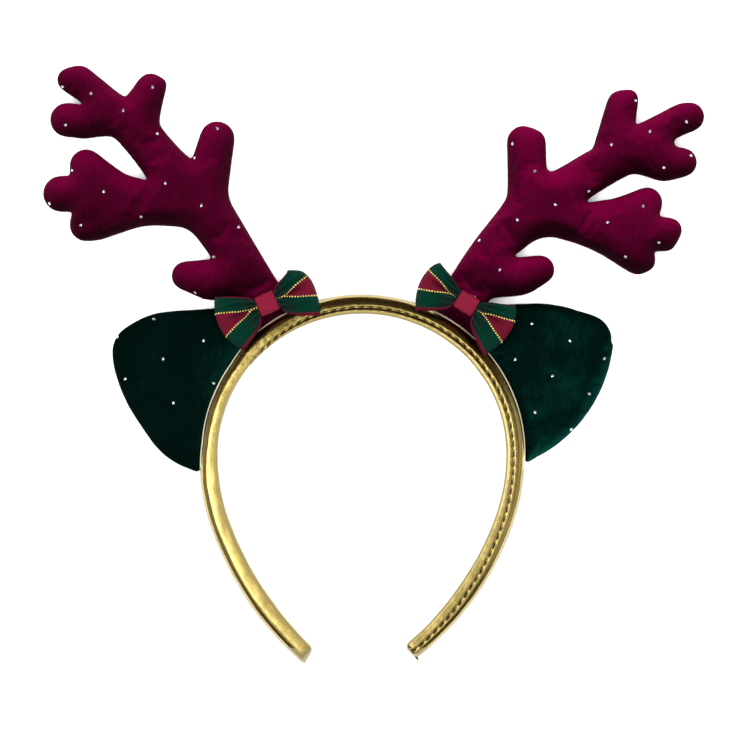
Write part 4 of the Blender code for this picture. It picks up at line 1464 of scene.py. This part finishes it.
class HEADBAND_OT_dots(bpy.types.Operator):
    """Sets the silver dots into the velvet, on both faces"""

    bl_idname = "headband.add_dots"
    bl_label = "Silver dots"

    def execute(self, context):
        dots = context.scene.headband.dots
        tree = PathTree("dots_on_velvet", False, 7, 4)
        finish = silver_finish(dots)
        for node, places in DOTS.items():
            lines = surface_lines(node, places)
            behind = [(x + BEHIND[0], y + BEHIND[1]) for x, y in places[::2]]
            lines += surface_lines(node, behind, from_above=False)
            mesh = tree.beads(
                node + "_dots",
                lines,
                finish,
                seed=dots.seed,
                Length=dots.size,
                Width=dots.size * 0.8,
                Height=dots.height,
            )
            mesh.shade_flat()
            add_piece(node + "_dots", mesh, finish)
        return {"FINISHED"}


def add_light(name, size, place, target, radiance, seen_in_gloss=True):
    """A soft rectangular light whose face gives this radiance, whatever its size."""
    light = bpy.data.lights.new(name, "AREA")
    light.shape = "RECTANGLE"
    light.size, light.size_y = size
    light.energy = radiance * math.pi * size[0] * size[1]
    lamp = link(bpy.data.objects.new(name, light))
    lamp.location = place
    lamp.rotation_euler = (Vector(target) - Vector(place)).to_track_quat("-Z", "Y").to_euler()
    lamp.visible_glossy = seen_in_gloss
    return lamp


# The camera looks straight down on this place (x, y). The view width holds at this height. Both in metres.
PICTURE_CENTRE = (0.000564, -0.004626)
SEEN_HEIGHT = 0.007


class HEADBAND_OT_stage(bpy.types.Operator):
    """Makes the pale table, the studio lights and the camera above the headband"""

    bl_idname = "headband.add_stage"
    bl_label = "Stage"

    def execute(self, context):
        stage = context.scene.headband.stage
        half = 2.5
        mesh = bpy.data.meshes.new("table")
        corners = [(-half, -half, 0.0), (half, -half, 0.0), (half, half, 0.0), (-half, half, 0.0)]
        mesh.from_pydata(corners, [], [(0, 1, 2, 3)])
        mesh.materials.append(floor_finish(stage.floor))
        link(bpy.data.objects.new("table", mesh))
        middle = (0.0, 0.0, 0.0)
        lit_side = (0.0, -0.05, 0.0)
        over_left = (-0.46, -0.13, 0.0)
        card = (1.0, 0.6)
        add_light("overhead_softbox", (1.9, 1.0), (0.0, -0.42, 1.2), middle, stage.overhead)
        add_light("strip_to_the_left", (0.50, 0.50), (-0.46, -0.13, 1.19), over_left, stage.strip)
        add_light("card_to_the_right", card, (1.0, -0.1, 0.5), lit_side, stage.right_card)
        add_light("card_to_the_left", card, (-1.0, -0.1, 0.5), lit_side, stage.left_card)
        add_light("key_beyond_antlers", (2.2, 0.6), (-0.25, 1.25, 0.6), middle, stage.key, False)
        add_light("even_fill", (2.4, 2.4), (0.0, 0.0, 1.7), middle, stage.fill, False)
        world = bpy.data.worlds.new("room")
        world.use_nodes = True
        world.node_tree.nodes["Background"].inputs["Color"].default_value = (*stage.room, 1.0)
        context.scene.world = world
        camera = bpy.data.cameras.new("camera")
        camera.sensor_width = 36.0
        camera.lens = camera.sensor_width * (stage.camera_height - SEEN_HEIGHT) / stage.view_width
        viewer = link(bpy.data.objects.new("camera", camera))
        viewer.location = (*PICTURE_CENTRE, stage.camera_height)
        context.scene.camera = viewer
        context.scene.view_settings.view_transform = "Standard"
        return {"FINISHED"}


OPERATORS = (
    HEADBAND_OT_sleeve,
    HEADBAND_OT_antlers,
    HEADBAND_OT_ears,
    HEADBAND_OT_bows,
    HEADBAND_OT_dots,
    HEADBAND_OT_stage,
)


class HEADBAND_PT_pieces(bpy.types.Panel):
    """Lists the headband's pieces and their sizes"""

    bl_label = "Reindeer antler headband"
    bl_space_type = "VIEW_3D"
    bl_region_type = "UI"
    bl_category = "Headband"

    def draw(self, context):
        for operator in OPERATORS:
            self.layout.operator(operator.bl_idname)
        settings = context.scene.headband
        for group in (settings.hoop, settings.velvet, settings.bows, settings.dots, settings.stage):
            box = self.layout.box()
            for name in group.__annotations__:
                box.prop(group, name)


CLASSES = (
    HoopSettings,
    VelvetSettings,
    BowSettings,
    DotSettings,
    StageSettings,
    HeadbandSettings,
    *OPERATORS,
    HEADBAND_PT_pieces,
)


def register():
    for cls in CLASSES:
        bpy.utils.register_class(cls)
    bpy.types.Scene.headband = PointerProperty(type=HeadbandSettings)


def unregister():
    del bpy.types.Scene.headband
    for cls in reversed(CLASSES):
        bpy.utils.unregister_class(cls)


def main():
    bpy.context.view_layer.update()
    register()
    bpy.ops.headband.add_sleeve()
    bpy.ops.headband.add_antlers()
    bpy.ops.headband.add_ears()
    bpy.ops.headband.add_bows()
    bpy.ops.headband.add_dots()
    bpy.ops.headband.add_stage()


if __name__ == "__main__":
    main()
